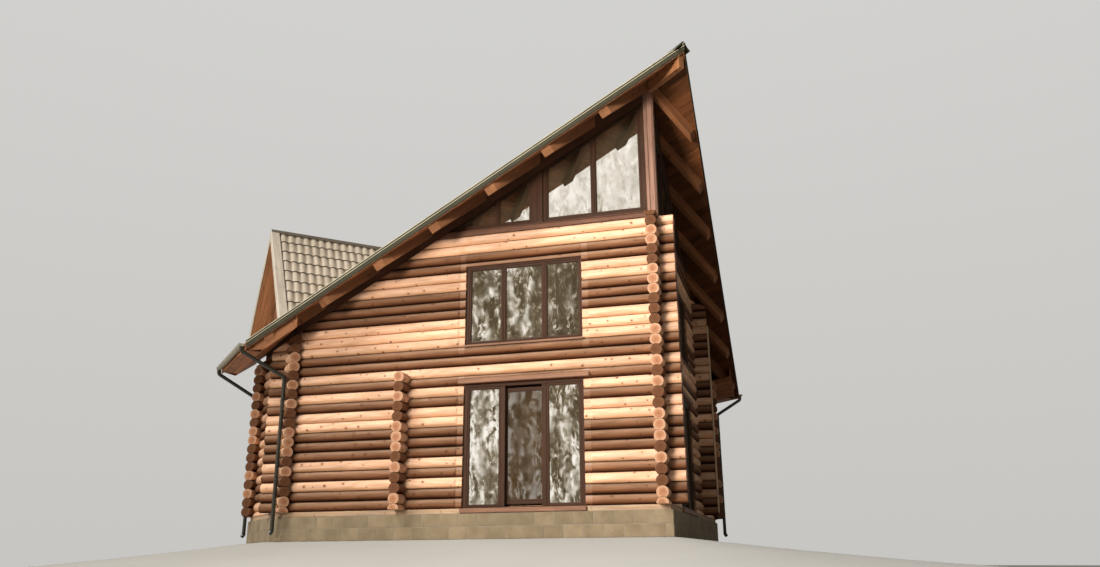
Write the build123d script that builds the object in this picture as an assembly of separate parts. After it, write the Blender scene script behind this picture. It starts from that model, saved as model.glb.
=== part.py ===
from build123d import *
import math
import os

os.makedirs("parts", exist_ok=True)

# Log cabin on a square plan set with its diagonal along the ridge.
# Four long log walls meet in a pointed prow at each end of the ridge, and the
# two side corners are cut off by short chamfer walls parallel to the ridge.
# Frame: +Z up, ridge along Y, front prow at -Y, ground at z = 0, origin in the
# middle of the plan. Heights named Z_... are from the ground, the others are
# from the underside of the lowest logs.

# ---------------------------------------------------------------- dimensions
PLINTH_H = 500.0          # blockwork above the ground
BASE_H = 100.0            # flat timber between blockwork and logs
Z0 = PLINTH_H + BASE_H    # underside of the lowest logs
COURSE = 210.0            # log pitch
LOG_R = 120.0             # turned log radius
N_COURSES = 28            # full courses up to the gable sill
WALL_TOP = N_COURSES * COURSE
FACET = 8430.0            # long wall, prow to chamfer corner, on log centres
CHAMFER = 2400.0          # chamfer wall between corners, on log centres
LOG_OUT = 430.0           # sawn ends beyond a crossing
S45 = math.sqrt(0.5)
HALF_W = FACET * S45      # half width between the chamfer walls
PROW_Y = HALF_W + CHAMFER / 2

PITCH = 39.0              # main roof
TAN = math.tan(math.radians(PITCH))
COS = math.cos(math.radians(PITCH))
RIDGE = 9330.0            # top of the covering at the ridge
VERGE_OUT = 950.0         # verge beyond the long walls, square to them
EAVE_X = 7000.0           # eave line
TIP_Y = PROW_Y + VERGE_OUT / S45
EAVE_Y = TIP_Y - EAVE_X   # half length of the short eave
T_COVER = 40.0            # covering, square to the slope
T_DECK = 110.0            # boarding and insulation
T_RAFTER = 200.0
D_COVER = T_COVER / COS   # the same, measured plumb
D_DECK = D_COVER + T_DECK / COS
D_RAFTER = D_DECK + T_RAFTER / COS
D_HEAD = D_RAFTER + 175.0  # underside of the sloped head beams
RAFTER_W = 140.0
EAVE_LEVEL = 3473.0       # level cut of the rafters' feet
RAFTER_STEP = 900.0
RAFTER_N = 8              # pairs each side of the middle one

WIN_A0, WIN_A1 = 1560.0, 4160.0   # openings along a long wall, from the prow
WIN_Z0, WIN_Z1 = 3370.0, 5160.0   # upper window
DOOR_Z0, DOOR_Z1 = 0.0, 2530.0    # ground-floor unit
PLANE_RIM = 130.0                 # logs planed flat round the openings
PLANE_W = 95.0

SILL_T = 120.0            # board under the gable glazing
GLZ_Z0 = WALL_TOP + SILL_T
POST = 200.0              # square post on the prow
HEAD_W = 70.0             # half width of the head beams

DORM_RIDGE = 6850.0       # cross gable, top of its ridge
DORM_TAN = 1.43
DORM_FACE = 6420.0        # front verge of the cross gable
DORM_T = 95.0             # its boarding, square to the slope
DORM_COVER = 40.0

EPS = 1.0


# ------------------------------------------------------------------- helpers
def at_front_left(shape):
    """Wall frame (x along the wall from the prow, y outward, z up) to its place."""
    return Location((0, -PROW_Y, Z0), (0, 0, 135)) * shape


def to_right(shape):
    return mirror(shape, about=Plane.YZ)


def to_rear(shape):
    return mirror(shape, about=Plane.XZ)


def at_left_chamfer(shape):
    return Location((-HALF_W, 0, Z0), (0, 0, 90)) * shape


def box(x0, x1, y0, y1, z0, z1):
    return Location(((x0 + x1) / 2, (y0 + y1) / 2, (z0 + z1) / 2)) * Box(x1 - x0, y1 - y0, z1 - z0)


def solids(shape):
    if isinstance(shape, (list, tuple, ShapeList)):
        out = []
        for s in shape:
            out += solids(s)
        return out
    return [s for s in shape.solids() if s.volume > 2000.0]


def write(name, *shapes):
    items = solids(list(shapes))
    part = items[0] if len(items) == 1 else Compound(children=items)
    part.label = name
    export_step(part, "parts/%s.step" % name)
    print(name, len(items), "solids", round(sum(s.volume for s in items) / 1e9, 4), "m3")


def poly_prism(points, thickness, plane, start=0.0):
    """Closed polygon in a plane, pushed along the plane's normal."""
    wire = Polyline(*[(p[0], p[1]) for p in points], close=True)
    face = make_face(wire)
    return Location(plane.z_dir * start) * (plane * extrude(face, amount=thickness))


def facet_prism(points, w0, w1):
    """Polygon of (along, up) in the wall frame, from offset w0 to w1 outward."""
    # the XZ plane's normal is -Y
    return poly_prism(points, w1 - w0, Plane.XZ, start=-w1)


def plan_prism(points, z0, z1):
    return poly_prism(points, z1 - z0, Plane.XY, start=z0)


def cut_by(shape, *tools):
    out = []
    for s in solids(shape):
        r = s
        for t in tools:
            r = r - t
        out += solids(r)
    return out


def keep_in(shape, tool):
    out = []
    for s in solids(shape):
        out += solids(s & tool)
    return out


def log_stack(x0, x1, even, z_top):
    """Wall of stacked logs along x, between two end planes, up to z_top.
    Even walls have seams at whole courses, odd walls half a course higher."""
    seam = math.sqrt(LOG_R ** 2 - (COURSE / 2) ** 2)
    right, levels = [], []
    if even:
        z = 0.0
        while z < z_top - EPS:
            levels.append((z, seam, z + COURSE / 2, LOG_R, z + COURSE, seam))
            z += COURSE
    else:
        levels.append((0.0, LOG_R, COURSE / 4, math.sqrt(LOG_R ** 2 - (COURSE / 4) ** 2), COURSE / 2, seam))
        z = COURSE / 2
        while z + COURSE <= z_top + EPS:
            levels.append((z, seam, z + COURSE / 2, LOG_R, z + COURSE, seam))
            z += COURSE
        if z < z_top - EPS:
            levels.append((z, seam, z + COURSE / 4, math.sqrt(LOG_R ** 2 - (COURSE / 4) ** 2), z + COURSE / 2, LOG_R))
    edges = []
    for (za, wa, zm, wm, zb, wb) in levels:
        edges.append(ThreePointArc((wa, za), (wm, zm), (wb, zb)))
    top = levels[-1]
    edges.append(Line((top[5], top[4]), (-top[5], top[4])))
    for (za, wa, zm, wm, zb, wb) in reversed(levels):
        edges.append(ThreePointArc((-wb, zb), (-wm, zm), (-wa, za)))
    edges.append(Line((-levels[0][1], levels[0][0]), (levels[0][1], levels[0][0])))
    face = make_face(edges)
    # profile drawn in (y, z), pushed along x
    prof = Plane(origin=(x0, 0, 0), x_dir=(0, 1, 0), z_dir=(1, 0, 0))
    return prof * extrude(face, amount=x1 - x0)


def roof_z(x, drop):
    """Height of a layer of the main roof above the base of the logs."""
    return RIDGE - drop - TAN * abs(x)


def roof_layer(d0, d1, side, y0=-12000.0, y1=12000.0, x0=0.0, x1=9000.0):
    """Slab of one slope between two plumb drops below the covering's top."""
    pts = [(side * x0, roof_z(x0, d0)), (side * x1, roof_z(x1, d0)),
           (side * x1, roof_z(x1, d1)), (side * x0, roof_z(x0, d1))]
    if side > 0:
        pts = list(reversed(pts))
    s = poly_prism(pts, y1 - y0, Plane.XZ, start=-y1)
    return Location((0, 0, Z0)) * s


def above_roof(drop):
    """Everything higher than a layer of the main roof."""
    w = 16000.0
    pts = [(-w, roof_z(w, drop)), (0, roof_z(0, drop)), (w, roof_z(w, drop)), (w, 30000.0), (-w, 30000.0)]
    return Location((0, 0, Z0)) * poly_prism(pts, 40000.0, Plane.XZ, start=-20000.0)


def hexagon(inset):
    """Plan outline of the walls' centre lines moved inward by inset."""
    k = inset * math.tan(math.radians(22.5))
    xw = HALF_W - inset
    yc = CHAMFER / 2 - k
    yp = PROW_Y - inset / S45
    return [(0, -yp), (xw, -yc), (xw, yc), (0, yp), (-xw, yc), (-xw, -yc)]


def ring(outset, inset, z0, z1):
    return plan_prism(hexagon(-outset), z0, z1) - plan_prism(hexagon(inset), z0 - 10, z1 + 10)


def half_outline(side, out=0.0):
    """Plan outline of one roof slope, its verge and eave moved outward by out."""
    ty = TIP_Y + out / S45
    ex = EAVE_X + out
    ey = ty - ex
    pts = [(0, -ty), (side * ex, -ey), (side * ex, ey), (0, ty)]
    return pts if side > 0 else list(reversed(pts))


# ------------------------------------------------------- plinth, base, floors
plinth = ring(150, 150, 0, PLINTH_H)
base_timber = ring(105, 105, PLINTH_H, Z0)
ground_floor = plan_prism(hexagon(125), PLINTH_H, Z0 + 40)
upper_floor = plan_prism(hexagon(120.5), Z0 + 2740, Z0 + 2930)

# ------------------------------------------------------------------ log walls
roof_cut = above_roof(D_HEAD)

even_wall = at_front_left(log_stack(-LOG_OUT, FACET + LOG_OUT, True, WALL_TOP))
odd_wall = at_front_left(log_stack(-LOG_OUT, FACET + LOG_OUT, False, WALL_TOP))
even_chamfer = at_left_chamfer(log_stack(-CHAMFER / 2 - LOG_OUT, CHAMFER / 2 + LOG_OUT, True, 22 * COURSE))
odd_chamfer = at_left_chamfer(log_stack(-CHAMFER / 2 - LOG_OUT, CHAMFER / 2 + LOG_OUT, False, 22 * COURSE))

window_hole = at_front_left(box(WIN_A0, WIN_A1, -400, 400, WIN_Z0, WIN_Z1))
door_hole = at_front_left(box(WIN_A0, WIN_A1, -400, 400, DOOR_Z0 - 5, DOOR_Z1))
flat_upper = at_front_left(box(WIN_A0 - PLANE_RIM, WIN_A1 + PLANE_RIM, PLANE_W, 300, WIN_Z0 - 30, WIN_Z1 + PLANE_RIM))
flat_lower = at_front_left(box(WIN_A0 - PLANE_RIM, WIN_A1 + PLANE_RIM, PLANE_W, 300, DOOR_Z0 - 5, DOOR_Z1 + PLANE_RIM))
openings = [window_hole, door_hole, flat_upper, flat_lower]


def uncut_walls(even):
    return even_wall if even else odd_wall


front_left_full = cut_by(even_wall, roof_cut, *openings)
rear_left_full = [to_rear(s) for s in front_left_full]

fr = cut_by(to_right(odd_wall), to_right(roof_cut), *[to_right(o) for o in openings])
front_right_full = cut_by(fr, even_wall)
rr = [to_rear(s) for s in fr]
rear_right_full = cut_by(rr, to_rear(even_wall))

left_chamfer = cut_by(odd_chamfer, roof_cut, even_wall, to_rear(even_wall))
right_chamfer = cut_by(to_right(even_chamfer), roof_cut, to_right(odd_wall), to_rear(to_right(odd_wall)))

prow_side = at_front_left(box(-2000, WIN_A0, -1000, 1000, -100, 9000))
eave_side = at_front_left(box(WIN_A1, 12000, -1000, 1000, -100, 9000))
between = at_front_left(box(WIN_A0, WIN_A1, -1000, 1000, -100, 9000))
fl_prow = keep_in(front_left_full, prow_side)
fl_eave = keep_in(front_left_full, eave_side)
fl_over = keep_in(front_left_full, between)

# inner walls whose log ends come through the long walls
PART_A = 5520.0
PART_OUT = 470.0


def partition_ends(even, z_top, out):
    stack = log_stack(60, out, even, z_top)
    return at_front_left(Location((PART_A, 0, 0), (0, 0, 90)) * stack)


ends_left = cut_by(partition_ends(False, 13.5 * COURSE, LOG_OUT), even_wall, roof_cut)
ends_right = cut_by(to_right(partition_ends(True, 27 * COURSE, PART_OUT)), to_right(odd_wall), roof_cut)
cover_board = to_right(at_front_left(box(PART_A - 105, PART_A + 105, PART_OUT, PART_OUT + 25, 60, 23 * COURSE)))


# -------------------------------------------------------------- window frames
def facet_z(a, drop):
    """Height of a roof layer over the wall's centre line."""
    return RIDGE - drop - TAN * S45 * a


def facet_a(z, drop):
    return (RIDGE - drop - z) / (TAN * S45)


GL_T = 12.0  # half thickness of a sealed pane
UP_JAMB, UP_JAMB2, UP_HEAD = 105.0, 85.0, 90.0
up_lights = [(WIN_A0 + 80, 2340.0), (2450.0, 3260.0), (3360.0, WIN_A1 - 110)]
up_frame = box(WIN_A0, WIN_A1, -40, 50, WIN_Z0, WIN_Z1)
up_glass = []
for (a0, a1) in up_lights:
    up_frame = up_frame - box(a0, a1, -200, 200, WIN_Z0 + 95, WIN_Z1 - 90)
    up_glass.append(box(a0, a1, -GL_T, GL_T, WIN_Z0 + 95, WIN_Z1 - 90))

# ground-floor unit: two fixed lights, the middle one is the sliding leaf
LEAF_A0, LEAF_A1 = 2400.0, 3310.0
LEAF_W0, LEAF_W1 = -95.0, -40.0
door_frame = box(WIN_A0, WIN_A1, -110, 50, DOOR_Z0, DOOR_Z1)
door_frame = door_frame - box(WIN_A0 + 110, WIN_A1 - 120, -200, -30, 62, DOOR_Z1 - 90)
fixed_lights = [(WIN_A0 + 110, 2320.0), (3380.0, WIN_A1 - 120)]
way_through = (2460.0, 3250.0)
for (a0, a1) in fixed_lights + [way_through]:
    door_frame = door_frame - box(a0, a1, -200, 200, 62, DOOR_Z1 - 100)
door_glass = [box(a0, a1, -GL_T + 10, GL_T + 10, 62, DOOR_Z1 - 100) for (a0, a1) in fixed_lights]
leaf = box(LEAF_A0, LEAF_A1, LEAF_W0, LEAF_W1, 68, DOOR_Z1 - 96)
leaf_hole = (LEAF_A0 + 75, LEAF_A1 - 75, 68 + 80, DOOR_Z1 - 96 - 75)
leaf = leaf - box(leaf_hole[0], leaf_hole[1], -300, 300, leaf_hole[2], leaf_hole[3])
leaf_glass = box(leaf_hole[0], leaf_hole[1], LEAF_W0 + 15, LEAF_W1 - 15, leaf_hole[2], leaf_hole[3])
LEAF_TRAVEL = 700.0

# the other three walls: the middle light is closed by a fixed pane
fixed_unit = box(WIN_A0, WIN_A1, -40, 50, DOOR_Z0, DOOR_Z1)
fixed_glass = []
for (a0, a1) in fixed_lights + [way_through]:
    fixed_unit = fixed_unit - box(a0, a1, -200, 200, 62, DOOR_Z1 - 100)
    fixed_glass.append(box(a0, a1, -GL_T, GL_T, 62, DOOR_Z1 - 100))

# gable glazing over the logs
gl_lights = [(250.0, 1210.0), (1320.0, 2300.0), (2720.0, 3420.0), (3520.0, None)]
G_BOT = GLZ_Z0 + 125
a_end = facet_a(GLZ_Z0, D_HEAD)
over = 70.0  # drawn past the head beam's underside, then cut to it
gable_frame = facet_prism([(100, GLZ_Z0), (a_end + 120, GLZ_Z0), (100, facet_z(100, D_HEAD - over))], -50, 50)
gable_glass = []
for (a0, a1) in gl_lights:
    drop = D_HEAD + 100
    if a1 is None:
        a1 = facet_a(G_BOT, drop)
        pts = [(a0, G_BOT), (a1, G_BOT), (a0, facet_z(a0, drop))]
    else:
        pts = [(a0, G_BOT), (a1, G_BOT), (a1, facet_z(a1, drop)), (a0, facet_z(a0, drop))]
    gable_frame = gable_frame - facet_prism(pts, -200, 200)
    gable_glass.append(facet_prism(pts, -GL_T, GL_T))
# post between the large and the small lights, standing proud of the frame
post_pts = [(2410, GLZ_Z0), (2550, GLZ_Z0), (2550, facet_z(2550, D_HEAD - over)), (2410, facet_z(2410, D_HEAD - over))]
gable_frame = gable_frame + facet_prism(post_pts, 49, 85)
gable_sill = box(100, facet_a(WALL_TOP, D_HEAD) + 200, -60, 105, WALL_TOP, GLZ_Z0)
wall_roof_cut = Location((0, 0, 0), (0, 0, -135)) * (Location((0, PROW_Y, -Z0)) * above_roof(D_HEAD))
gable_frame = cut_by(gable_frame, wall_roof_cut)[0]
gable_sill = cut_by(gable_sill, wall_roof_cut)[0]

# boards at the openings
upper_sill = box(WIN_A0 - 20, WIN_A1 + 20, 50, 150, WIN_Z0 - 28, WIN_Z0 + 12)
upper_sill = upper_sill - box(WIN_A0 - 60, WIN_A0, 0, PLANE_W, WIN_Z0 - 100, WIN_Z0 + 100)
upper_sill = upper_sill - box(WIN_A1, WIN_A1 + 60, 0, PLANE_W, WIN_Z0 - 100, WIN_Z0 + 100)
upper_sill = upper_sill - box(WIN_A0 - 60, WIN_A1 + 60, 0, PLANE_W, WIN_Z0 - 100, WIN_Z0)
head_board = box(WIN_A0 - PLANE_RIM, WIN_A1 + PLANE_RIM, PLANE_W, PLANE_W + 45, DOOR_Z1 + 25, DOOR_Z1 + PLANE_RIM - 5)
threshold = box(WIN_A0 - 20, WIN_A1 + 20, 105, 160, -92, -2)

# post on the prow
prow_post = Location((0, -PROW_Y, 0), (0, 0, 45)) * box(-POST / 2, POST / 2, -POST / 2, POST / 2, Z0 + WALL_TOP, Z0 + 9500)

# ---------------------------------------------------------------------- roof
outline_l = plan_prism(half_outline(-1), -100, 15000)
outline_r = plan_prism(half_outline(1), -100, 15000)
cover_l = keep_in(roof_layer(0, D_COVER, -1), outline_l)
cover_r = [to_right(s) for s in cover_l]
deck_l = keep_in(roof_layer(D_COVER, D_DECK, -1), outline_l)
deck_r = [to_right(s) for s in deck_l]

# ridge beam under the boarding
RB_W = 60.0
RB_H = 320.0
ridge_beam = box(-RB_W, RB_W, -TIP_Y + 110, TIP_Y - 110, Z0 + RIDGE - D_DECK - RB_H, Z0 + RIDGE)
ridge_beam = cut_by(ridge_beam, above_roof(D_DECK))

# rafters run down the slope and are cut off along the verge
# with ends square to the slope
normal = Vector(-math.sin(PITCH), 0, math.cos(PITCH))
tip_line = Vector(-1, 1, -TAN).normalized()
raf_tip = TIP_Y - 45.0 / S45
front_end = Plane(origin=(0, -raf_tip, Z0 + RIDGE - D_DECK), x_dir=tip_line, z_dir=normal.cross(tip_line))
if front_end.z_dir.Y > 0:
    front_end = Plane(origin=front_end.origin, x_dir=tip_line, z_dir=tip_line.cross(normal))
past_front = front_end.location * Pos(0, 0, 3000) * Box(40000, 4000, 6000)
eave_end = Plane(origin=(-EAVE_X + 45, 0, Z0 + roof_z(EAVE_X - 45, D_DECK)), x_dir=(0, 1, 0), z_dir=(-math.cos(PITCH), 0, -math.sin(PITCH)))
past_eave = eave_end.location * Pos(0, 0, 3000) * Box(40000, 4000, 6000)
low_cut = box(-9000, 0, -9000, 9000, 0, Z0 + EAVE_LEVEL)
rafters_l = []
for i in range(-RAFTER_N, RAFTER_N + 1):
    y = i * RAFTER_STEP
    r = roof_layer(D_DECK, D_RAFTER, -1, y - RAFTER_W / 2, y + RAFTER_W / 2, RB_W, 9000.0)
    rafters_l += cut_by(r, past_front if y < 0 else to_rear(past_front), past_eave, low_cut)
rafters_r = [to_right(s) for s in rafters_l]

prow_posts = cut_by(prow_post, above_roof(D_RAFTER), *ridge_beam)
prow_posts = prow_posts + [to_rear(s) for s in prow_posts]

# sloped head beams on the long walls, notched over the rafters, and level
# ones on the chamfer walls
head_strip = at_front_left(box(100, FACET + 200, -HEAD_W, HEAD_W, 0, 12000))
head_l = keep_in(roof_layer(D_DECK, D_HEAD, -1), head_strip)
head_l = cut_by(head_l, *(rafters_l + list(ridge_beam) + prow_posts))
head_l = keep_in(head_l, box(-HALF_W + 30, 20000, -20000, 20000, 0, 20000))
chamfer_head = box(-HALF_W - HEAD_W, -HALF_W + HEAD_W, -CHAMFER / 2 - 100, CHAMFER / 2 + 100, Z0 + roof_z(HALF_W - HEAD_W, D_HEAD) - 400, Z0 + 9000)
chamfer_head = keep_in(chamfer_head, Location((0, 0, 0)) * roof_layer(D_DECK, D_HEAD, -1))
chamfer_head = cut_by(chamfer_head, *(rafters_l + head_l + [to_rear(s) for s in head_l]))
head_beams_l = head_l + [to_rear(s) for s in head_l] + chamfer_head
head_beams_r = [to_right(s) for s in head_beams_l]

# verge flashing: a plumb strip that covers the edge of boarding and tiles
def verge_strip(side):
    o = 22.0
    tip0, tip1 = TIP_Y, TIP_Y + o / S45
    ex, ey0, ey1 = EAVE_X, EAVE_Y, EAVE_Y + o / S45
    pts = [(0, -tip0), (side * ex, -ey0), (side * ex, -ey1), (0, -tip1)]
    if side < 0:
        pts = list(reversed(pts))
    strip = plan_prism(list(reversed(pts)), -100, 15000)
    return keep_in(roof_layer(-30, D_DECK - 20, side), strip)


verge_l = verge_strip(-1)
verge_l = verge_l + [to_rear(s) for s in verge_l]
verge_r = [to_right(s) for s in verge_l]

# ridge cap
cap = keep_in(roof_layer(-22, 0, -1, -TIP_Y, TIP_Y, 0, 165.0), outline_l)
ridge_cap = cap[0] + to_right(cap[0])

# eave fascia and gutter
fascia_l = box(-EAVE_X - 28, -EAVE_X, -EAVE_Y, EAVE_Y, Z0 + roof_z(EAVE_X, D_DECK) - 20, Z0 + roof_z(EAVE_X, D_COVER) + 5)
# boards that close the eave below the rafters, level at the very edge
EAVE_BOX_X = HALF_W + 150.0
EAVE_BOX_Y = 1360.0
D_EBOX = D_RAFTER + 22.0 / COS
x_top = (RIDGE - D_RAFTER - EAVE_LEVEL) / TAN
x_bot = (RIDGE - D_EBOX - EAVE_LEVEL + 20) / TAN
slope_pts = [(-x_top, EAVE_LEVEL), (-x_bot, EAVE_LEVEL - 20), (-EAVE_BOX_X, roof_z(EAVE_BOX_X, D_EBOX)), (-EAVE_BOX_X, roof_z(EAVE_BOX_X, D_RAFTER))]
slope_boards = Location((0, 0, Z0)) * poly_prism(slope_pts, 6000.0, Plane.XZ, start=-3000.0)
slope_boards = keep_in(slope_boards, plan_prism(half_outline(-1, -120.0), -100, 15000))
level_pts = [(-EAVE_X + 8, EAVE_LEVEL), (-EAVE_X + 8, EAVE_LEVEL - 20), (-x_bot, EAVE_LEVEL - 20), (-x_top, EAVE_LEVEL)]
level_boards = Location((0, 0, Z0)) * poly_prism(level_pts, 2 * EAVE_BOX_Y, Plane.XZ, start=-EAVE_BOX_Y)
GUT_R = 66.0
gut_x = -EAVE_X - 28 - GUT_R - 2
gut_z = Z0 + roof_z(EAVE_X, D_COVER) - 35
gut = Location((gut_x, EAVE_Y, gut_z), (90, 0, 0)) * extrude(Circle(GUT_R), amount=2 * EAVE_Y)
gut_in = Location((gut_x, EAVE_Y - 6, gut_z), (90, 0, 0)) * extrude(Circle(GUT_R - 5), amount=2 * EAVE_Y - 12)
gutter_l = gut - gut_in - box(gut_x - 200, gut_x + 200, -EAVE_Y - 50, EAVE_Y + 50, gut_z, gut_z + 300)


def pipe(points, r):
    out = None
    for p, q in zip(points[:-1], points[1:]):
        d = Vector(*q) - Vector(*p)
        seg = Plane(origin=p, z_dir=d) * extrude(Circle(r), amount=d.length)
        out = seg if out is None else out + seg
    for p in points[1:-1]:
        out = out + Location(p) * Sphere(r)
    return out


PIPE_R = 43.0
px, py = -HALF_W - LOG_R - PIPE_R - 12, EAVE_Y - 60.0
pipe_py = CHAMFER / 2 + 330.0
down_front = pipe([(gut_x, -py, gut_z - GUT_R - 1), (gut_x, -py, gut_z - GUT_R - 90),
                   (px, -pipe_py, Z0 + 2900), (px, -pipe_py, 150)], PIPE_R)
downpipes_l = [down_front, to_rear(down_front)]

# ------------------------------------------------------------- cross gables
DCOS = math.cos(math.atan(DORM_TAN))
dd_cover = DORM_COVER / DCOS
dd_deck = dd_cover + DORM_T / DCOS


def dorm_z(y, drop):
    return DORM_RIDGE - drop - DORM_TAN * abs(y)


def dorm_layer(d0, d1, x0, x1):
    w = 3200.0
    pts = [(-w, dorm_z(w, d0)), (0, dorm_z(0, d0)), (w, dorm_z(w, d0)),
           (w, dorm_z(w, d1)), (0, dorm_z(0, d1)), (-w, dorm_z(w, d1))]
    return Location((0, 0, Z0)) * poly_prism(pts, x1 - x0, Plane.YZ, start=x0)


def below_roof(drop):
    w = 16000.0
    pts = [(-w, roof_z(w, drop)), (0, roof_z(0, drop)), (w, roof_z(w, drop)), (w, -30000.0), (-w, -30000.0)]
    return Location((0, 0, Z0)) * poly_prism(pts, 40000.0, Plane.XZ, start=-20000.0)


main_top = below_roof(0)
dorm_cover_l = cut_by(dorm_layer(0, dd_cover, -DORM_FACE, -2600), main_top)
dorm_deck_l = cut_by(dorm_layer(dd_cover, dd_deck, -DORM_FACE, -2600), main_top)
g = HALF_W
gable_pts = [(-3000, dorm_z(3000, dd_deck)), (0, dorm_z(0, dd_deck)), (3000, dorm_z(3000, dd_deck)),
             (3000, -2000), (-3000, -2000)]
dorm_gable_l = cut_by(Location((0, 0, Z0)) * poly_prism(gable_pts, 100, Plane.YZ, start=-g - 50), main_top)
dorm_verge_l = cut_by(dorm_layer(-20, dd_deck + 10, -DORM_FACE - 20, -DORM_FACE), main_top)
dorm_cap_l = cut_by(dorm_layer(-24, 0, -DORM_FACE, -3300), main_top,
                    box(-9000, 0, 80, 5000, 0, 20000), box(-9000, 0, -5000, -80, 0, 20000))

# -------------------------------------------------------------------- output
R = to_right
FLP = at_front_left

write("plinth", plinth)
write("base_timber", base_timber)
write("ground_floor", ground_floor)
write("upper_floor", upper_floor)
write("front_left_wall_prow_side", fl_prow)
write("front_left_wall_eave_side", fl_eave)
write("front_left_wall_over_door", fl_over)
write("front_right_wall", front_right_full)
write("rear_left_wall", rear_left_full)
write("rear_right_wall", rear_right_full)
write("left_chamfer_wall", left_chamfer)
write("right_chamfer_wall", right_chamfer)
write("inner_wall_log_ends", ends_left, ends_right)
write("log_end_cover_board", cover_board)
write("prow_posts", prow_posts)

write("front_left_gable_frame", FLP(gable_frame))
write("front_left_upper_window_frame", FLP(up_frame))
write("terrace_door_frame", FLP(door_frame))
write("terrace_door_leaf", FLP(leaf))
write("terrace_door_leaf_glass", FLP(leaf_glass))
write("front_left_glass", [FLP(s) for s in gable_glass + up_glass + door_glass])
write("front_right_window_frames", [R(FLP(s)) for s in (gable_frame, up_frame, fixed_unit)])
write("front_right_glass", [R(FLP(s)) for s in gable_glass + up_glass + fixed_glass])
rear_frames = [to_rear(FLP(s)) for s in (gable_frame, up_frame, fixed_unit)]
rear_panes = [to_rear(FLP(s)) for s in gable_glass + up_glass + fixed_glass]
write("rear_window_frames", rear_frames, [R(s) for s in rear_frames])
write("rear_glass", rear_panes, [R(s) for s in rear_panes])
gs = [FLP(gable_sill)]
write("gable_sills", gs + [R(s) for s in gs] + [to_rear(s) for s in gs] + [to_rear(R(s)) for s in gs])
bd = [FLP(s) for s in (upper_sill, head_board, threshold)]
write("opening_boards", bd + [R(s) for s in bd] + [to_rear(s) for s in bd] + [to_rear(R(s)) for s in bd])

write("roof_deck_left", deck_l)
write("roof_deck_right", deck_r)
write("roof_covering_left", cover_l)
write("roof_covering_right", cover_r)
write("ridge_beam", ridge_beam)
write("rafters", rafters_l, rafters_r)
write("head_beams", head_beams_l, head_beams_r)
write("ridge_cap", ridge_cap)
write("verge_flashing_left", verge_l)
write("verge_flashing_right", verge_r)
write("eave_fascias", fascia_l, R(fascia_l), slope_boards, R(slope_boards), level_boards, R(level_boards))
write("gutters", gutter_l, R(gutter_l))
write("downpipes", downpipes_l, [R(s) for s in downpipes_l])
write("cross_gable_decks", dorm_deck_l, [R(s) for s in dorm_deck_l])
write("cross_gable_coverings", dorm_cover_l, [R(s) for s in dorm_cover_l])
write("cross_gable_walls", dorm_gable_l, [R(s) for s in dorm_gable_l])
write("cross_gable_verges", dorm_verge_l, [R(s) for s in dorm_verge_l])
write("cross_gable_caps", dorm_cap_l, [R(s) for s in dorm_cap_l])
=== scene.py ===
import bpy
import bmesh
import math
import random
from itertools import product
import numpy as np
from mathutils import Matrix, Vector


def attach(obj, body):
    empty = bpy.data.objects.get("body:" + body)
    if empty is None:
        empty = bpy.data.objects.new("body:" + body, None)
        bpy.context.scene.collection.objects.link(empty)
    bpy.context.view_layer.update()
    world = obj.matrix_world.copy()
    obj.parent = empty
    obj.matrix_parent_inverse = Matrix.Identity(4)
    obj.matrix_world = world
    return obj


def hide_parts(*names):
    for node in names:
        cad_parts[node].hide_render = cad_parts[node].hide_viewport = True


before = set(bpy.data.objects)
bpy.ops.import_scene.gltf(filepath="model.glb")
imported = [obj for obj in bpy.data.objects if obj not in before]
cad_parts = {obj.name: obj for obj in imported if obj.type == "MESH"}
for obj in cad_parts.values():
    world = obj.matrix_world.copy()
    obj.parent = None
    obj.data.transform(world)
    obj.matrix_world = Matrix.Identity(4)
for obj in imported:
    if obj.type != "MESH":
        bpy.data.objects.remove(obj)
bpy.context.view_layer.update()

# ---------------------------------------------------------------- dimensions
# metres, the same as the construction; heights called z are from the
# underside of the lowest logs, which is Z0 above the ground
S = math.sqrt(0.5)
PLINTH_H, BASE_H = 0.5, 0.1
Z0 = PLINTH_H + BASE_H
COURSE, LOG_R, N_COURSES = 0.21, 0.12, 28
WALL_TOP = COURSE * N_COURSES
FACET, CHAMFER, LOG_OUT = 8.43, 2.4, 0.43
HALF_W = FACET * S
PROW_Y = HALF_W + CHAMFER / 2
PITCH = math.radians(39.0)
TAN, COS, SIN = math.tan(PITCH), math.cos(PITCH), math.sin(PITCH)
RIDGE, EAVE_X = 9.33, 7.0
TIP_Y = PROW_Y + 0.95 / S
EAVE_Y = TIP_Y - EAVE_X
D_COVER = 0.04 / COS
D_DECK = D_COVER + 0.11 / COS
D_RAFTER = D_DECK + 0.2 / COS
D_HEAD = D_RAFTER + 0.175
EAVE_LEVEL = 3.473
WIN_A0, WIN_A1 = 1.56, 4.16
WIN_Z0, WIN_Z1 = 3.37, 5.16
DOOR_Z1 = 2.53
RIM, PLANE_W = 0.13, 0.095
GLZ_Z0 = WALL_TOP + 0.12
G_BOT = GLZ_Z0 + 0.125
PART_A, PART_OUT = 5.52, 0.47
DORM_RIDGE, DORM_TAN, DORM_FACE = 6.85, 1.43, 6.42
DCOS = math.cos(math.atan(DORM_TAN))
DSIN = math.sin(math.atan(DORM_TAN))
DD_COVER = 0.04 / DCOS
DD_DECK = DD_COVER + 0.095 / DCOS


def roof_z(x, drop):
    return RIDGE - drop - TAN * abs(x)


def facet_z(a, drop):
    return RIDGE - drop - TAN * S * a


def facet_a(z, drop):
    return (RIDGE - drop - z) / (TAN * S)


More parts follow.
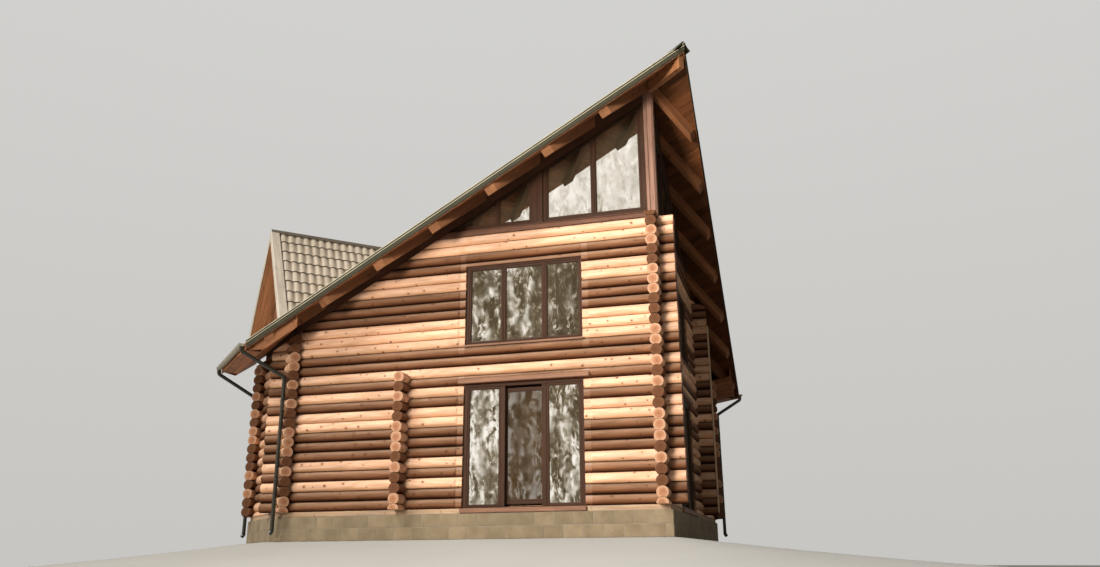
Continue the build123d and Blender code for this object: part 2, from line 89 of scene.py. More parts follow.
def wall_map(mx, my):
    """(along the wall from the prow, outward, up) to the shared frame."""
    def f(p):
        p = np.asarray(p, float)
        a, w, z = p[..., 0], p[..., 1], p[..., 2]
        return np.stack([mx * (-S * a - S * w), my * (-PROW_Y + S * a - S * w), z + Z0], -1)
    f.flip = mx * my < 0
    return f


def chamfer_map(mx):
    def f(p):
        p = np.asarray(p, float)
        a, w, z = p[..., 0], p[..., 1], p[..., 2]
        return np.stack([-mx * (HALF_W + w), a, z + Z0], -1)
    f.flip = mx < 0
    return f


def plain(p):
    return np.asarray(p, float)


plain.flip = False
FL, FR, RL, RR = wall_map(1, 1), wall_map(-1, 1), wall_map(1, -1), wall_map(-1, -1)
WALLS = (("front_left", FL, True), ("front_right", FR, False), ("rear_left", RL, True), ("rear_right", RR, False))


# ------------------------------------------------------------ mesh collector
class Pile:
    """Closed bodies gathered into one mesh, with coordinates along the grain."""

    def __init__(self, seed=1):
        self.v, self.f, self.wc, self.rnd, self.tone = [], [], [], [], []
        self.endf, self.smooth, self.mat = [], [], []
        self.n = 0
        self.rand = random.Random(seed)

    def add(self, verts, faces, wc, rnd=None, tone=0.0, endf=None, smooth=None, mat=0):
        n = len(verts)
        rnd = self.rand.random() if rnd is None else rnd
        self.v.append(np.asarray(verts, float))
        self.f += [tuple(i + self.n for i in f) for f in faces]
        self.wc.append(np.asarray(wc, float))
        self.rnd.append(np.full(n, rnd))
        self.tone.append(np.full(n, tone))
        self.endf += list(endf) if endf is not None else [0.0] * len(faces)
        self.smooth += list(smooth) if smooth is not None else [False] * len(faces)
        self.mat += [mat] * len(faces) if isinstance(mat, int) else list(mat)
        self.n += n

    def build(self, name, materials, sharp=32.0):
        me = bpy.data.meshes.new(name)
        me.from_pydata(np.concatenate(self.v).tolist(), [], self.f)
        for m in materials:
            me.materials.append(m)
        me.polygons.foreach_set("use_smooth", self.smooth)
        me.polygons.foreach_set("material_index", self.mat)
        a = me.attributes.new("wc", "FLOAT_VECTOR", "POINT")
        a.data.foreach_set("vector", np.concatenate(self.wc).astype(np.float32).ravel())
        for key, arr, dom in (("rnd", np.concatenate(self.rnd), "POINT"), ("tone", np.concatenate(self.tone), "POINT"), ("endf", np.array(self.endf), "FACE")):
            at = me.attributes.new(key, "FLOAT", dom)
            at.data.foreach_set("value", np.asarray(arr, np.float32))
        me.validate()
        if any(self.smooth):
            me.set_sharp_from_angle(angle=math.radians(sharp))
        me.update()
        ob = bpy.data.objects.new(name, me)
        bpy.context.scene.collection.objects.link(ob)
        return ob


def outward(verts, faces):
    """Turns the faces of a convex body so that they face out."""
    verts = np.asarray(verts)
    cen = verts.mean(0)
    out = []
    for f in faces:
        p = verts[list(f)]
        c = p.mean(0)
        n = np.zeros(3)
        for i in range(len(f)):
            n += np.cross(p[i] - c, p[(i + 1) % len(f)] - c)
        out.append(tuple(f) if n @ (c - cen) >= 0 else tuple(reversed(f)))
    return out


def _box_faces():
    idx, faces, kinds = {}, [], []
    n = 0
    for c in product((0, 1), repeat=3):
        for ax in range(3):
            idx[c + (ax,)] = n
            n += 1
    for ax in range(3):
        o = [m for m in range(3) if m != ax]
        for s in (0, 1):
            q = []
            for (p, r) in ((0, 0), (1, 0), (1, 1), (0, 1)):
                t = [0, 0, 0]
                t[ax], t[o[0]], t[o[1]] = s, p, r
                q.append(idx[tuple(t) + (ax,)])
            faces.append(q)
            kinds.append(ax)
    for d in range(3):
        m, k = [i for i in range(3) if i != d]
        for (p, r) in product((0, 1), repeat=2):
            t0, t1 = [0, 0, 0], [0, 0, 0]
            t0[d], t1[d] = 0, 1
            t0[m] = t1[m] = p
            t0[k] = t1[k] = r
            faces.append([idx[tuple(t0) + (m,)], idx[tuple(t0) + (k,)], idx[tuple(t1) + (k,)], idx[tuple(t1) + (m,)]])
            kinds.append(-1)
    for c in product((0, 1), repeat=3):
        faces.append([idx[c + (0,)], idx[c + (1,)], idx[c + (2,)]])
        kinds.append(-1)
    return faces, kinds


BOX_FACES, BOX_KINDS = _box_faces()


def hexa(pile, fmap, c, bevel=0.004, tone=0.0, grain=0, pith=None, mat=0, rnd=None):
    """Six-sided block with bevelled edges from its 8 corners c[i][j][k]."""
    c = np.asarray(c, float).reshape(2, 2, 2, 3)
    ln = [np.linalg.norm(c[1] - c[0], axis=-1).mean(), np.linalg.norm(c[:, 1] - c[:, 0], axis=-1).mean(),
          np.linalg.norm(c[:, :, 1] - c[:, :, 0], axis=-1).mean()]
    b = [min(bevel / max(e, 1e-6), 0.3) for e in ln]
    verts = []
    for t in product((0, 1), repeat=3):
        for ax in range(3):
            u = [float(t[m]) if m == ax else (b[m] if t[m] == 0 else 1 - b[m]) for m in range(3)]
            w = np.array([(1 - u[0], u[0])]).T[:, :, None] * np.array([1 - u[1], u[1]])[None, :, None]
            p = np.zeros(3)
            for i in (0, 1):
                for j in (0, 1):
                    for k in (0, 1):
                        p += (u[0] if i else 1 - u[0]) * (u[1] if j else 1 - u[1]) * (u[2] if k else 1 - u[2]) * c[i, j, k]
            verts.append(p)
    verts = np.array(verts)
    cen = verts.mean(0)
    dirs = [(c[1] - c[0]).reshape(-1, 3).mean(0), (c[:, 1] - c[:, 0]).reshape(-1, 3).mean(0), (c[:, :, 1] - c[:, :, 0]).reshape(-1, 3).mean(0)]
    g = dirs[grain] / np.linalg.norm(dirs[grain])
    h = dirs[(grain + 1) % 3]
    h = h - (h @ g) * g
    h /= np.linalg.norm(h)
    k = np.cross(g, h)
    if pith is None:
        pith = (pile.rand.uniform(-0.05, 0.05), pile.rand.uniform(0.05, 0.13))
    d = verts - cen
    wc = np.stack([d @ g, d @ h + pith[0], d @ k + pith[1]], 1)
    world = fmap(verts)
    pile.add(world, outward(world, BOX_FACES), wc, rnd=rnd, tone=tone, endf=[1.0 if kk == grain else 0.0 for kk in BOX_KINDS], mat=mat)


def block(pile, fmap, x0, x1, y0, y1, z0, z1, **kw):
    hexa(pile, fmap, [[[(x, y, z) for z in (z0, z1)] for y in (y0, y1)] for x in (x0, x1)], **kw)


def prism(pile, fmap, poly0, poly1, grain, cross, tone=0.0, pith=None, mat=0, rnd=None, smooth=False):
    """Convex body between two like polygons."""
    poly0, poly1 = np.asarray(poly0, float), np.asarray(poly1, float)
    n = len(poly0)
    verts = np.concatenate([poly0, poly1])
    faces = [[i, (i + 1) % n, n + (i + 1) % n, n + i] for i in range(n)] + [list(range(n)), list(range(n, 2 * n))]
    g = np.asarray(grain, float)
    g = g / np.linalg.norm(g)
    h = np.asarray(cross, float)
    h = h - (h @ g) * g
    h /= np.linalg.norm(h)
    k = np.cross(g, h)
    if pith is None:
        pith = (pile.rand.uniform(-0.05, 0.05), pile.rand.uniform(0.05, 0.13))
    d = verts - verts.mean(0)
    wc = np.stack([d @ g, d @ h + pith[0], d @ k + pith[1]], 1)
    world = fmap(verts)
    pile.add(world, outward(world, faces), wc, rnd=rnd, tone=tone, endf=[0.0] * n + [1.0, 1.0],
             smooth=[smooth] * n + [False, False], mat=mat)


def bevel_prism(pile, poly0, poly1, grain, cross, bevel, tone=0.0, mat=0):
    """Body between two like polygons, edges bevelled."""
    poly0, poly1 = np.asarray(poly0, float), np.asarray(poly1, float)
    n = len(poly0)
    bm = bmesh.new()
    vs = [bm.verts.new(p) for p in list(poly0) + list(poly1)]
    for i in range(n):
        bm.faces.new([vs[i], vs[(i + 1) % n], vs[n + (i + 1) % n], vs[n + i]])
    bm.faces.new(vs[:n][::-1])
    bm.faces.new(vs[n:])
    bmesh.ops.recalc_face_normals(bm, faces=bm.faces[:])
    edges = [e for e in bm.edges if e.calc_length() > 4 * bevel and e.calc_face_angle(0.0) > 0.3]
    bmesh.ops.bevel(bm, geom=edges, offset=bevel, segments=1, profile=0.7, affect="EDGES", clamp_overlap=True)
    g = np.asarray(grain, float) / np.linalg.norm(grain)
    h = np.asarray(cross, float)
    h = h - (h @ g) * g
    h /= np.linalg.norm(h)
    k = np.cross(g, h)
    pith = (pile.rand.uniform(-0.05, 0.05), pile.rand.uniform(0.05, 0.13))
    verts = np.array([tuple(v.co) for v in bm.verts])
    bm.verts.index_update()
    d = verts - verts.mean(0)
    wc = np.stack([d @ g, d @ h + pith[0], d @ k + pith[1]], 1)
    faces, endf = [], []
    for f in bm.faces:
        faces.append([v.index for v in f.verts])
        endf.append(1.0 if abs(np.array(f.normal) @ g) > 0.75 else 0.0)
    bm.free()
    pile.add(verts, faces, wc, tone=tone, endf=endf, mat=mat)


def cut_arrays(verts, faces, wc, endf, smooth, planes, cap_end=1.0):
    """Cuts a closed body with planes (point, normal) and caps the cuts."""
    bm = bmesh.new()
    lw = bm.verts.layers.float_vector.new("wc")
    le = bm.faces.layers.float.new("endf")
    bv = []
    for p, w in zip(verts, wc):
        v = bm.verts.new(p)
        v[lw] = Vector(w)
        bv.append(v)
    for f, e, sm in zip(faces, endf, smooth):
        try:
            bf = bm.faces.new([bv[i] for i in f])
        except ValueError:
            continue
        bf[le] = e
        bf.smooth = sm
    for co, no in planes:
        geom = bm.verts[:] + bm.edges[:] + bm.faces[:]
        r = bmesh.ops.bisect_plane(bm, geom=geom, dist=1e-6, plane_co=co, plane_no=no, clear_outer=True)
        edges = [e for e in r["geom_cut"] if isinstance(e, bmesh.types.BMEdge) and e.is_boundary]
        if edges:
            before = set(bm.faces)
            bmesh.ops.holes_fill(bm, edges=edges, sides=0)
            for nf in bm.faces:
                if nf not in before:
                    nf[le] = cap_end
                    nf.smooth = False
        if not bm.faces:
            bm.free()
            return None
    bmesh.ops.recalc_face_normals(bm, faces=bm.faces[:])
    bm.verts.index_update()
    out = ([tuple(v.co) for v in bm.verts], [[v.index for v in f.verts] for f in bm.faces], [tuple(v[lw]) for v in bm.verts],
           [f[le] for f in bm.faces], [f.smooth for f in bm.faces])
    bm.free()
    return out


def head_plane(side, drop=D_HEAD):
    """Underside of the head beams on one slope, side -1 left or 1 right."""
    n = Vector((side * TAN, 0, 1)).normalized()
    return (Vector((0, 0, Z0 + RIDGE - drop)), n)


# ---------------------------------------------------------------- materials
class Mat:
    def __init__(self, name):
        self.m = bpy.data.materials.new(name)
        self.m.use_nodes = True
        self.t = self.m.node_tree
        self.t.nodes.clear()
        self.out = self.t.nodes.new("ShaderNodeOutputMaterial")
        self.bsdf = self.t.nodes.new("ShaderNodeBsdfPrincipled")
        self.t.links.new(self.bsdf.outputs[0], self.out.inputs[0])

    def put(self, sock, v):
        if isinstance(v, bpy.types.NodeSocket):
            self.t.links.new(v, sock)
        else:
            if sock.type == "RGBA" and len(v) == 3:
                v = (*v, 1.0)
            sock.default_value = v

    def node(self, kind, ins=None, **props):
        n = self.t.nodes.new("ShaderNode" + kind)
        for k, v in props.items():
            setattr(n, k, v)
        for k, v in (ins or {}).items():
            self.put(n.inputs[k], v)
        return n

    def math(self, op, a, b=None, c=None, clamp=False):
        n = self.node("Math", operation=op, use_clamp=clamp)
        for i, v in enumerate((a, b, c)):
            if v is not None:
                self.put(n.inputs[i], v)
        return n.outputs[0]

    def vmath(self, op, a, b=None, out=0):
        n = self.node("VectorMath", operation=op)
        self.put(n.inputs[0], a)
        if b is not None:
            self.put(n.inputs["Scale"] if op == "SCALE" else n.inputs[1], b)
        return n.outputs[out]

    def attr(self, name, out="Fac"):
        return self.node("Attribute", attribute_name=name).outputs[out]

    def noise(self, vec, scale=1.0, detail=2.0, rough=0.5, distort=0.0, out="Fac"):
        n = self.node("TexNoise", {"Vector": vec, "Scale": scale, "Detail": detail, "Roughness": rough, "Distortion": distort})
        return n.outputs[out]

    def rng(self, v, a, b, c=0.0, d=1.0, kind="LINEAR"):
        n = self.node("MapRange", {"Value": v, "From Min": a, "From Max": b, "To Min": c, "To Max": d}, interpolation_type=kind)
        return n.outputs[0]

    def mix(self, fac, a, b, blend="MIX"):
        n = self.node("Mix", data_type="RGBA", blend_type=blend)
        self.put(n.inputs[0], fac)
        self.put(n.inputs[6], a)
        self.put(n.inputs[7], b)
        return n.outputs[2]

    def shade(self, col, fac):
        """Colour times a number."""
        return self.vmath("SCALE", col, fac)

    def xyz(self, vec):
        n = self.node("SeparateXYZ", {0: vec})
        return n.outputs

    def comb(self, x, y, z):
        n = self.node("CombineXYZ")
        for i, v in enumerate((x, y, z)):
            self.put(n.inputs[i], v)
        return n.outputs[0]

    def bump(self, height, strength, distance, normal=None):
        n = self.node("Bump", {"Height": height, "Strength": strength, "Distance": distance})
        if normal is not None:
            self.put(n.inputs["Normal"], normal)
        return n.outputs[0]

    def set(self, **kw):
        for k, v in kw.items():
            self.put(self.bsdf.inputs[k.replace("_", " ")], v)
        return self.m


def wood(name, early, late, coords="wc", knots=0.6, ring=0.0065, ring_amt=0.4, streak=0.3, blotch=0.3, rough=0.6, crack=0.5,
         heart=None, sap=None, dark=None, dark_late=None, painted_seam_shade=0.0, grey=0.0, bump=0.35, knot_col=(0.075, 0.032, 0.015), spec=0.22):
    """Solid wood: growth rings about a wandering pith, fibres, knots, checks
    and end grain. With dark given, the tone attribute picks the stained one."""
    m = Mat(name)
    if coords == "wc":
        wc = m.attr("wc", "Vector")
        rnd = m.attr("rnd")
        endf = m.attr("endf")
    else:
        ob = m.node("TexCoord").outputs["Object"]
        x, y, z = m.xyz(ob)
        if coords == "Y":
            wc = m.comb(y, x, m.math("SUBTRACT", z, Z0 + RIDGE - 0.6))
        elif coords == "facet":
            ax, ay = m.math("ABSOLUTE", x), m.math("ABSOLUTE", y)
            along = m.math("MULTIPLY", m.math("SUBTRACT", ax, ay), S)
            across = m.math("MULTIPLY", m.math("SUBTRACT", m.math("ADD", ax, ay), PROW_Y), S)
            along = m.math("ADD", along, m.math("MULTIPLY", m.math("SIGN", x), 3.7))
            drop = m.math("ADD", z, m.math("MULTIPLY", ax, TAN))
            wc = m.comb(along, across, m.math("SUBTRACT", drop, Z0 + RIDGE - 0.5))
        else:
            wc = m.comb(x, m.math("ADD", y, 0.0), z)
        rnd, endf = 0.37, 0.0
    shift = m.vmath("MULTIPLY", m.comb(rnd, rnd, rnd), (31.7, 7.3, 3.1)) if coords == "wc" else (0.0, 0.0, 0.0)
    p = m.vmath("ADD", wc, shift)
    wander = m.noise(m.vmath("MULTIPLY", p, (0.42, 0.0, 0.0)), 1.0, 1.0, out="Color")
    wander = m.vmath("MULTIPLY", m.vmath("SUBTRACT", wander, (0.5, 0.5, 0.5)), (0.0, 0.07, 0.07))
    q = m.vmath("ADD", wc, wander)
    qyz = m.vmath("MULTIPLY", q, (0.0, 1.0, 1.0))
    r = m.vmath("LENGTH", qyz, out=1)
    per = m.noise(m.vmath("MULTIPLY", p, (1.3, 13.0, 13.0)), 1.0, 3.0)
    r2 = m.math("ADD", r, m.math("MULTIPLY", m.math("SUBTRACT", per, 0.5), 0.012))
    wave = m.math("SINE", m.math("MULTIPLY", r2, 2 * math.pi / ring))
    ringv = m.math("POWER", m.rng(wave, -1.0, 1.0), 2.2)
    fibre = m.noise(m.vmath("MULTIPLY", p, (4.0, 190.0, 190.0)), 1.0, 3.0, 0.6)
    coarse = m.noise(m.vmath("MULTIPLY", p, (1.1, 34.0, 34.0)), 1.0, 3.0, 0.55)
    big = m.noise(m.vmath("MULTIPLY", p, (0.7, 4.5, 4.5)), 1.0, 2.0)
    lam = m.math("MULTIPLY", ringv, ring_amt)
    col = m.mix(lam, early, late)
    if dark is not None:
        tone = m.attr("tone")
        dcol = m.mix(m.math("MULTIPLY", ringv, ring_amt * 0.8), dark, dark_late)
        col = m.mix(tone, col, dcol)
    k1 = m.rng(fibre, 0.25, 0.75, 1 - streak, 1 + streak * 0.7)
    k2 = m.rng(coarse, 0.3, 0.7, 1 - streak * 0.9, 1 + streak * 0.5)
    k3 = m.rng(big, 0.3, 0.7, 1 - blotch, 1 + blotch * 0.6)
    k = m.math("MULTIPLY", m.math("MULTIPLY", k1, k2), k3)
    if coords == "wc":
        k = m.math("MULTIPLY", k, m.rng(m.math("FRACT", m.math("MULTIPLY", rnd, 91.7)), 0.0, 1.0, 0.86, 1.12))
    col = m.shade(col, k)
    # knots: branches that run out from the pith
    height = m.math("ADD", m.math("MULTIPLY", fibre, 0.35), m.math("MULTIPLY", ringv, 0.25))
    qx, qy, qz = m.xyz(q)
    ang = m.math("ARCTAN2", qz, qy)
    if knots > 0:
        px, py, pz = m.xyz(p)
        kv = m.comb(m.math("MULTIPLY", px, 3.1), m.math("ADD", m.math("MULTIPLY", ang, 0.42), m.math("MULTIPLY", rnd, 53.0)), 0.0)
        vo = m.node("TexVoronoi", {"Vector": kv, "Scale": 1.0, "Randomness": 1.0}, feature="F1", voronoi_dimensions="2D")
        cr, cg, cb = m.xyz(vo.outputs["Color"])
        dist = m.math("ADD", vo.outputs["Distance"], m.math("MULTIPLY", m.math("SUBTRACT", coarse, 0.5), 0.022))
        dist = m.math("MULTIPLY", dist, m.rng(cg, 0.0, 1.0, 0.75, 1.7))
        pick = m.rng(cr, 0.18, 0.2)
        core = m.math("MULTIPLY", m.rng(dist, 0.032, 0.070, 1.0, 0.0, "SMOOTHSTEP"), pick)
        halo = m.math("MULTIPLY", m.rng(dist, 0.05, 0.17, 1.0, 0.0, "SMOOTHSTEP"), pick)
        col = m.mix(m.math("MULTIPLY", halo, 0.6 * knots), col, m.vmath("MULTIPLY", col, (0.60, 0.44, 0.34)))
        col = m.mix(m.math("MULTIPLY", core, knots), col, knot_col)
        height = m.math("SUBTRACT", height, m.math("MULTIPLY", core, 0.5))
    if crack > 0:
        cn = m.noise(m.vmath("MULTIPLY", p, (0.55, 21.0, 21.0)), 1.0, 4.0, 0.55)
        line = m.rng(m.math("ABSOLUTE", m.math("SUBTRACT", cn, 0.5)), 0.0, 0.0075, 1.0, 0.0)
        mask = m.rng(m.noise(m.vmath("MULTIPLY", p, (0.6, 7.0, 7.0)), 1.0, 1.0), 0.54, 0.6)
        line = m.math("MULTIPLY", m.math("MULTIPLY", line, mask), crack)
        col = m.mix(m.math("MULTIPLY", line, 0.75), col, (0.03, 0.018, 0.012))
        height = m.math("SUBTRACT", height, m.math("MULTIPLY", line, 2.0))
    if grey > 0:
        wx = m.noise(m.vmath("MULTIPLY", p, (1.6, 22.0, 22.0)), 1.0, 4.0, 0.65)
        col = m.mix(m.math("MULTIPLY", m.rng(wx, 0.42, 0.68), grey), col, (0.30, 0.26, 0.21))
    if heart is not None:
        # end grain with rings and radial checks
        heartm = m.rng(m.math("ADD", r, m.math("MULTIPLY", m.math("SUBTRACT", big, 0.5), 0.05)), 0.06, 0.095, 0.0, 1.0, "SMOOTHSTEP")
        ecol = m.mix(heartm, heart, sap)
        if dark is not None:
            ecol = m.mix(m.math("MULTIPLY", tone, 0.93), ecol, m.vmath("MULTIPLY", dark, (0.52, 0.47, 0.44)))
        ewave = m.math("SINE", m.math("MULTIPLY", m.math("ADD", r, m.math("MULTIPLY", m.math("SUBTRACT", per, 0.5), 0.004)), 2 * math.pi / 0.0075))
        ecol = m.shade(ecol, m.rng(ewave, -0.2, 1.0, 1.05, 0.72))
        pores = m.noise(m.vmath("MULTIPLY", p, (90.0, 90.0, 90.0)), 1.0, 2.0)
        ecol = m.shade(ecol, m.rng(pores, 0.3, 0.7, 0.85, 1.12))
        sect = m.math("ADD", m.math("MULTIPLY", ang, 5.5 / math.pi), m.math("MULTIPLY", rnd, 17.0))
        sect = m.math("ADD", sect, m.math("MULTIPLY", m.math("SUBTRACT", m.noise(m.vmath("MULTIPLY", qyz, (30.0, 30.0, 30.0)), 1.0, 2.0), 0.5), 0.12))
        cell = m.math("FLOOR", sect)
        near = m.math("ABSOLUTE", m.math("SUBTRACT", m.math("SUBTRACT", sect, cell), 0.5))
        width = m.math("DIVIDE", 0.0022, m.math("MAXIMUM", r, 0.01))
        chk = m.math("LESS_THAN", near, width)
        wn = m.node("TexWhiteNoise", {"W": m.math("ADD", cell, m.math("MULTIPLY", rnd, 77.0))}, noise_dimensions="1D").outputs["Value"]
        reach = m.math("GREATER_THAN", m.math("MULTIPLY", wn, 0.17), m.math("ADD", r, 0.03))
        chk = m.math("MULTIPLY", chk, reach)
        ecol = m.mix(m.math("MULTIPLY", chk, 0.85), ecol, (0.03, 0.015, 0.01))
        col = m.mix(endf, col, ecol)
        height = m.math("ADD", m.math("MULTIPLY", height, m.math("SUBTRACT", 1.0, endf)),
                        m.math("MULTIPLY", m.math("SUBTRACT", m.math("MULTIPLY", ewave, 0.15), m.math("MULTIPLY", chk, 2.0)), endf))
    if painted_seam_shade > 0:
        # painted shade: each log darkens towards the seam below, with a dark band painted along the seam where the logs
        # shade each other
        lz = m.math("ADD", m.xyz(wc)[2], m.math("MULTIPLY", m.math("SUBTRACT", coarse, 0.5), 0.02))
        side_face = m.math("SUBTRACT", 1.0, endf)
        # low: painted shade on the lower half of the log, towards the seam below
        low = m.math("MULTIPLY", m.rng(lz, -0.015, -0.094, 0.0, painted_seam_shade, "SMOOTHSTEP"), side_face)
        rim = m.math("ABSOLUTE", lz)
        # wide: band of painted shadow about the seam
        wide = m.math("MULTIPLY", m.rng(rim, 0.079, 0.098, 0.0, 0.98, "SMOOTHSTEP"), side_face)
        if dark is None:
            col = m.mix(low, col, m.vmath("MULTIPLY", col, (0.30, 0.165, 0.095)))
            col = m.mix(wide, col, (0.012, 0.006, 0.003))
        else:
            # painted sheen: pale tops on the stained logs, partly dust and partly painted sky sheen; the light logs get
            # weaker, narrower painted seam shade
            up = m.math("MULTIPLY", m.rng(lz, -0.035, 0.075, 0.0, 1.0, "SMOOTHSTEP"), m.math("MULTIPLY", side_face, tone))
            col = m.mix(up, col, m.vmath("MULTIPLY", col, (1.40, 1.85, 2.45)))
            col = m.mix(low, col, m.mix(tone, m.vmath("MULTIPLY", col, (0.97, 0.87, 0.72)), m.vmath("MULTIPLY", col, (0.30, 0.165, 0.095))))
            # narrow band of painted seam shadow for the light logs
            thin_seam_shade = m.math("MULTIPLY", m.rng(rim, 0.090, 0.103, 0.0, 0.80, "SMOOTHSTEP"), side_face)
            seam_shade_amount = m.math("ADD", m.math("MULTIPLY", wide, tone), m.math("MULTIPLY", thin_seam_shade, m.math("SUBTRACT", 1.0, tone)))
            col = m.mix(seam_shade_amount, col, m.mix(tone, (0.15, 0.055, 0.020), (0.012, 0.006, 0.003)))
    ro = m.rng(fibre, 0.2, 0.8, rough - 0.08, rough + 0.1)
    nrm = m.bump(height, bump, 0.004)
    m.bsdf.inputs["Specular IOR Level"].default_value = spec
    return m.set(Base_Color=col, Roughness=ro, Normal=nrm)


def painted(name, base, wear=None, rough=0.45, dirt=0.3, coords="Object", scale=1.0, streaks=True, metallic=0.0, coat=0.0, spots=0.25, spec=0.5):
    """Painted sheet metal with dust, rain streaks and dull patches."""
    m = Mat(name)
    if coords == "wc":
        p = m.attr("wc", "Vector")
    else:
        p = m.node("TexCoord").outputs["Object"]
    big = m.noise(p, 0.9 * scale, 3.0)
    fine = m.noise(p, 60.0 * scale, 3.0, 0.6)
    if streaks:
        st = m.noise(m.vmath("MULTIPLY", p, (14.0, 0.8, 0.8) if coords == "wc" else (9.0, 9.0, 0.7)), 1.0, 4.0, 0.6)
    else:
        st = big
    k = m.math("MULTIPLY", m.rng(big, 0.3, 0.7, 1 - dirt * 0.5, 1 + dirt * 0.3), m.rng(st, 0.3, 0.7, 1 - dirt * 0.6, 1 + dirt * 0.25))
    col = m.shade(m.mix(0.0, base, base), k)
    col = m.mix(m.math("MULTIPLY", m.rng(fine, 0.62, 0.72), spots), col, wear or tuple(min(1.0, c * 1.7 + 0.03) for c in base))
    grime = m.rng(m.noise(p, 3.1 * scale, 5.0, 0.65), 0.52, 0.7)
    col = m.mix(m.math("MULTIPLY", grime, dirt * 0.7), col, (0.09, 0.075, 0.055))
    ro = m.rng(st, 0.3, 0.7, rough - 0.08, rough + 0.14)
    nrm = m.bump(fine, 0.08, 0.002)
    m.bsdf.inputs["Metallic"].default_value = metallic
    m.bsdf.inputs["Specular IOR Level"].default_value = spec
    if coat:
        m.bsdf.inputs["Coat Weight"].default_value = coat
        m.bsdf.inputs["Coat Roughness"].default_value = 0.2
    return m.set(Base_Color=col, Roughness=ro, Normal=nrm)


# the log wood carries painted shade at the seams and a painted sheen on the tops of the stained logs
LOG = wood("log_wood", (0.715, 0.440, 0.290), (0.565, 0.295, 0.148), knots=0.95, ring=0.010, ring_amt=0.42, streak=0.2, blotch=0.2, rough=0.52,
           crack=0.8, heart=(0.36, 0.165, 0.085), sap=(0.44, 0.250, 0.152), dark=(0.188, 0.082, 0.038), dark_late=(0.115, 0.045, 0.019), painted_seam_shade=1.0, spec=0.10)
STAIN = wood("stained_timber_wood", (0.15, 0.073, 0.046), (0.10, 0.045, 0.028), knots=0.5, ring=0.008, streak=0.22, blotch=0.2, rough=0.52,
             heart=(0.20, 0.10, 0.07), sap=(0.26, 0.14, 0.10), crack=0.35)
POST = wood("post_wood", (0.285, 0.160, 0.112), (0.20, 0.102, 0.069), knots=0.4, ring=0.008, streak=0.2, blotch=0.2, rough=0.5,
            heart=(0.3, 0.16, 0.11), sap=(0.36, 0.2, 0.14), crack=0.3)
HEADB = wood("opening_board_wood", (0.232, 0.122, 0.076), (0.162, 0.077, 0.047), knots=0.4, ring=0.008, streak=0.22, blotch=0.2, rough=0.52,
             heart=(0.22, 0.11, 0.075), sap=(0.3, 0.16, 0.11), crack=0.3)
RAFTER = wood("rafter_wood", (0.29, 0.127, 0.057), (0.195, 0.076, 0.031), knots=0.8, ring=0.008, streak=0.24, blotch=0.28, rough=0.5,
              heart=(0.36, 0.165, 0.075), sap=(0.44, 0.215, 0.10), crack=0.4)
SOFFIT = wood("soffit_wood", (0.46, 0.185, 0.077), (0.30, 0.108, 0.042), knots=0.8, ring=0.008, streak=0.28, blotch=0.4, rough=0.5,
              heart=(0.3, 0.15, 0.08), sap=(0.34, 0.18, 0.1), crack=0.2)
# darker copies of the rafter and soffit wood for the right slope: painted shade, as that slope's underside lies in deep
# shade
RAFTER_PAINTED_SHADE = wood("rafter_wood_shaded", (0.27, 0.110, 0.046), (0.18, 0.064, 0.025), knots=0.8, ring=0.008, streak=0.24, blotch=0.28, rough=0.5,
                heart=(0.24, 0.105, 0.045), sap=(0.29, 0.135, 0.06), crack=0.4)
SOFFIT_PAINTED_SHADE = wood("soffit_wood_shaded", (0.135, 0.049, 0.018), (0.082, 0.027, 0.010), knots=0.8, ring=0.008, streak=0.28, blotch=0.4, rough=0.5,
                heart=(0.2, 0.1, 0.05), sap=(0.22, 0.12, 0.06), crack=0.2)
GSOFFIT = wood("gable_soffit_wood", (0.58, 0.27, 0.125), (0.40, 0.165, 0.070), knots=0.8, ring=0.008, streak=0.28, blotch=0.3, rough=0.5,
               heart=(0.4, 0.2, 0.1), sap=(0.44, 0.23, 0.12), crack=0.2)
FRAME = wood("window_frame_wood", (0.054, 0.026, 0.015), (0.033, 0.015, 0.008), knots=0.2, ring=0.006, streak=0.2, blotch=0.15, rough=0.38,
             heart=(0.09, 0.05, 0.035), sap=(0.1, 0.055, 0.04), crack=0.0)
BOARD = wood("cover_board_wood", (0.55, 0.37, 0.23), (0.40, 0.25, 0.14), knots=0.6, ring=0.007, streak=0.22, blotch=0.2, rough=0.6,
             heart=(0.55, 0.35, 0.2), sap=(0.6, 0.4, 0.25), crack=0.3, grey=0.2)
BASE = wood("base_timber_wood", (0.40, 0.265, 0.16), (0.28, 0.175, 0.10), knots=0.6, ring=0.008, streak=0.3, blotch=0.3, rough=0.7,
            heart=(0.34, 0.2, 0.12), sap=(0.4, 0.26, 0.16), crack=0.8, grey=0.5)
HEAD = wood("head_beam_wood", (0.10, 0.045, 0.027), (0.06, 0.026, 0.015), coords="facet", knots=0.4, ring=0.009, streak=0.25, blotch=0.25, rough=0.5, crack=0.4)
RIDGEW = wood("ridge_beam_wood", (0.30, 0.13, 0.055), (0.20, 0.08, 0.033), coords="Y", knots=0.6, ring=0.009, streak=0.25, blotch=0.25, rough=0.5, crack=0.3)
GABLE = wood("gable_board_wood", (0.21, 0.09, 0.045), (0.14, 0.055, 0.026), knots=0.6, ring=0.007, streak=0.25, blotch=0.25, rough=0.5,
             heart=(0.2, 0.1, 0.06), sap=(0.24, 0.12, 0.07), crack=0.3)



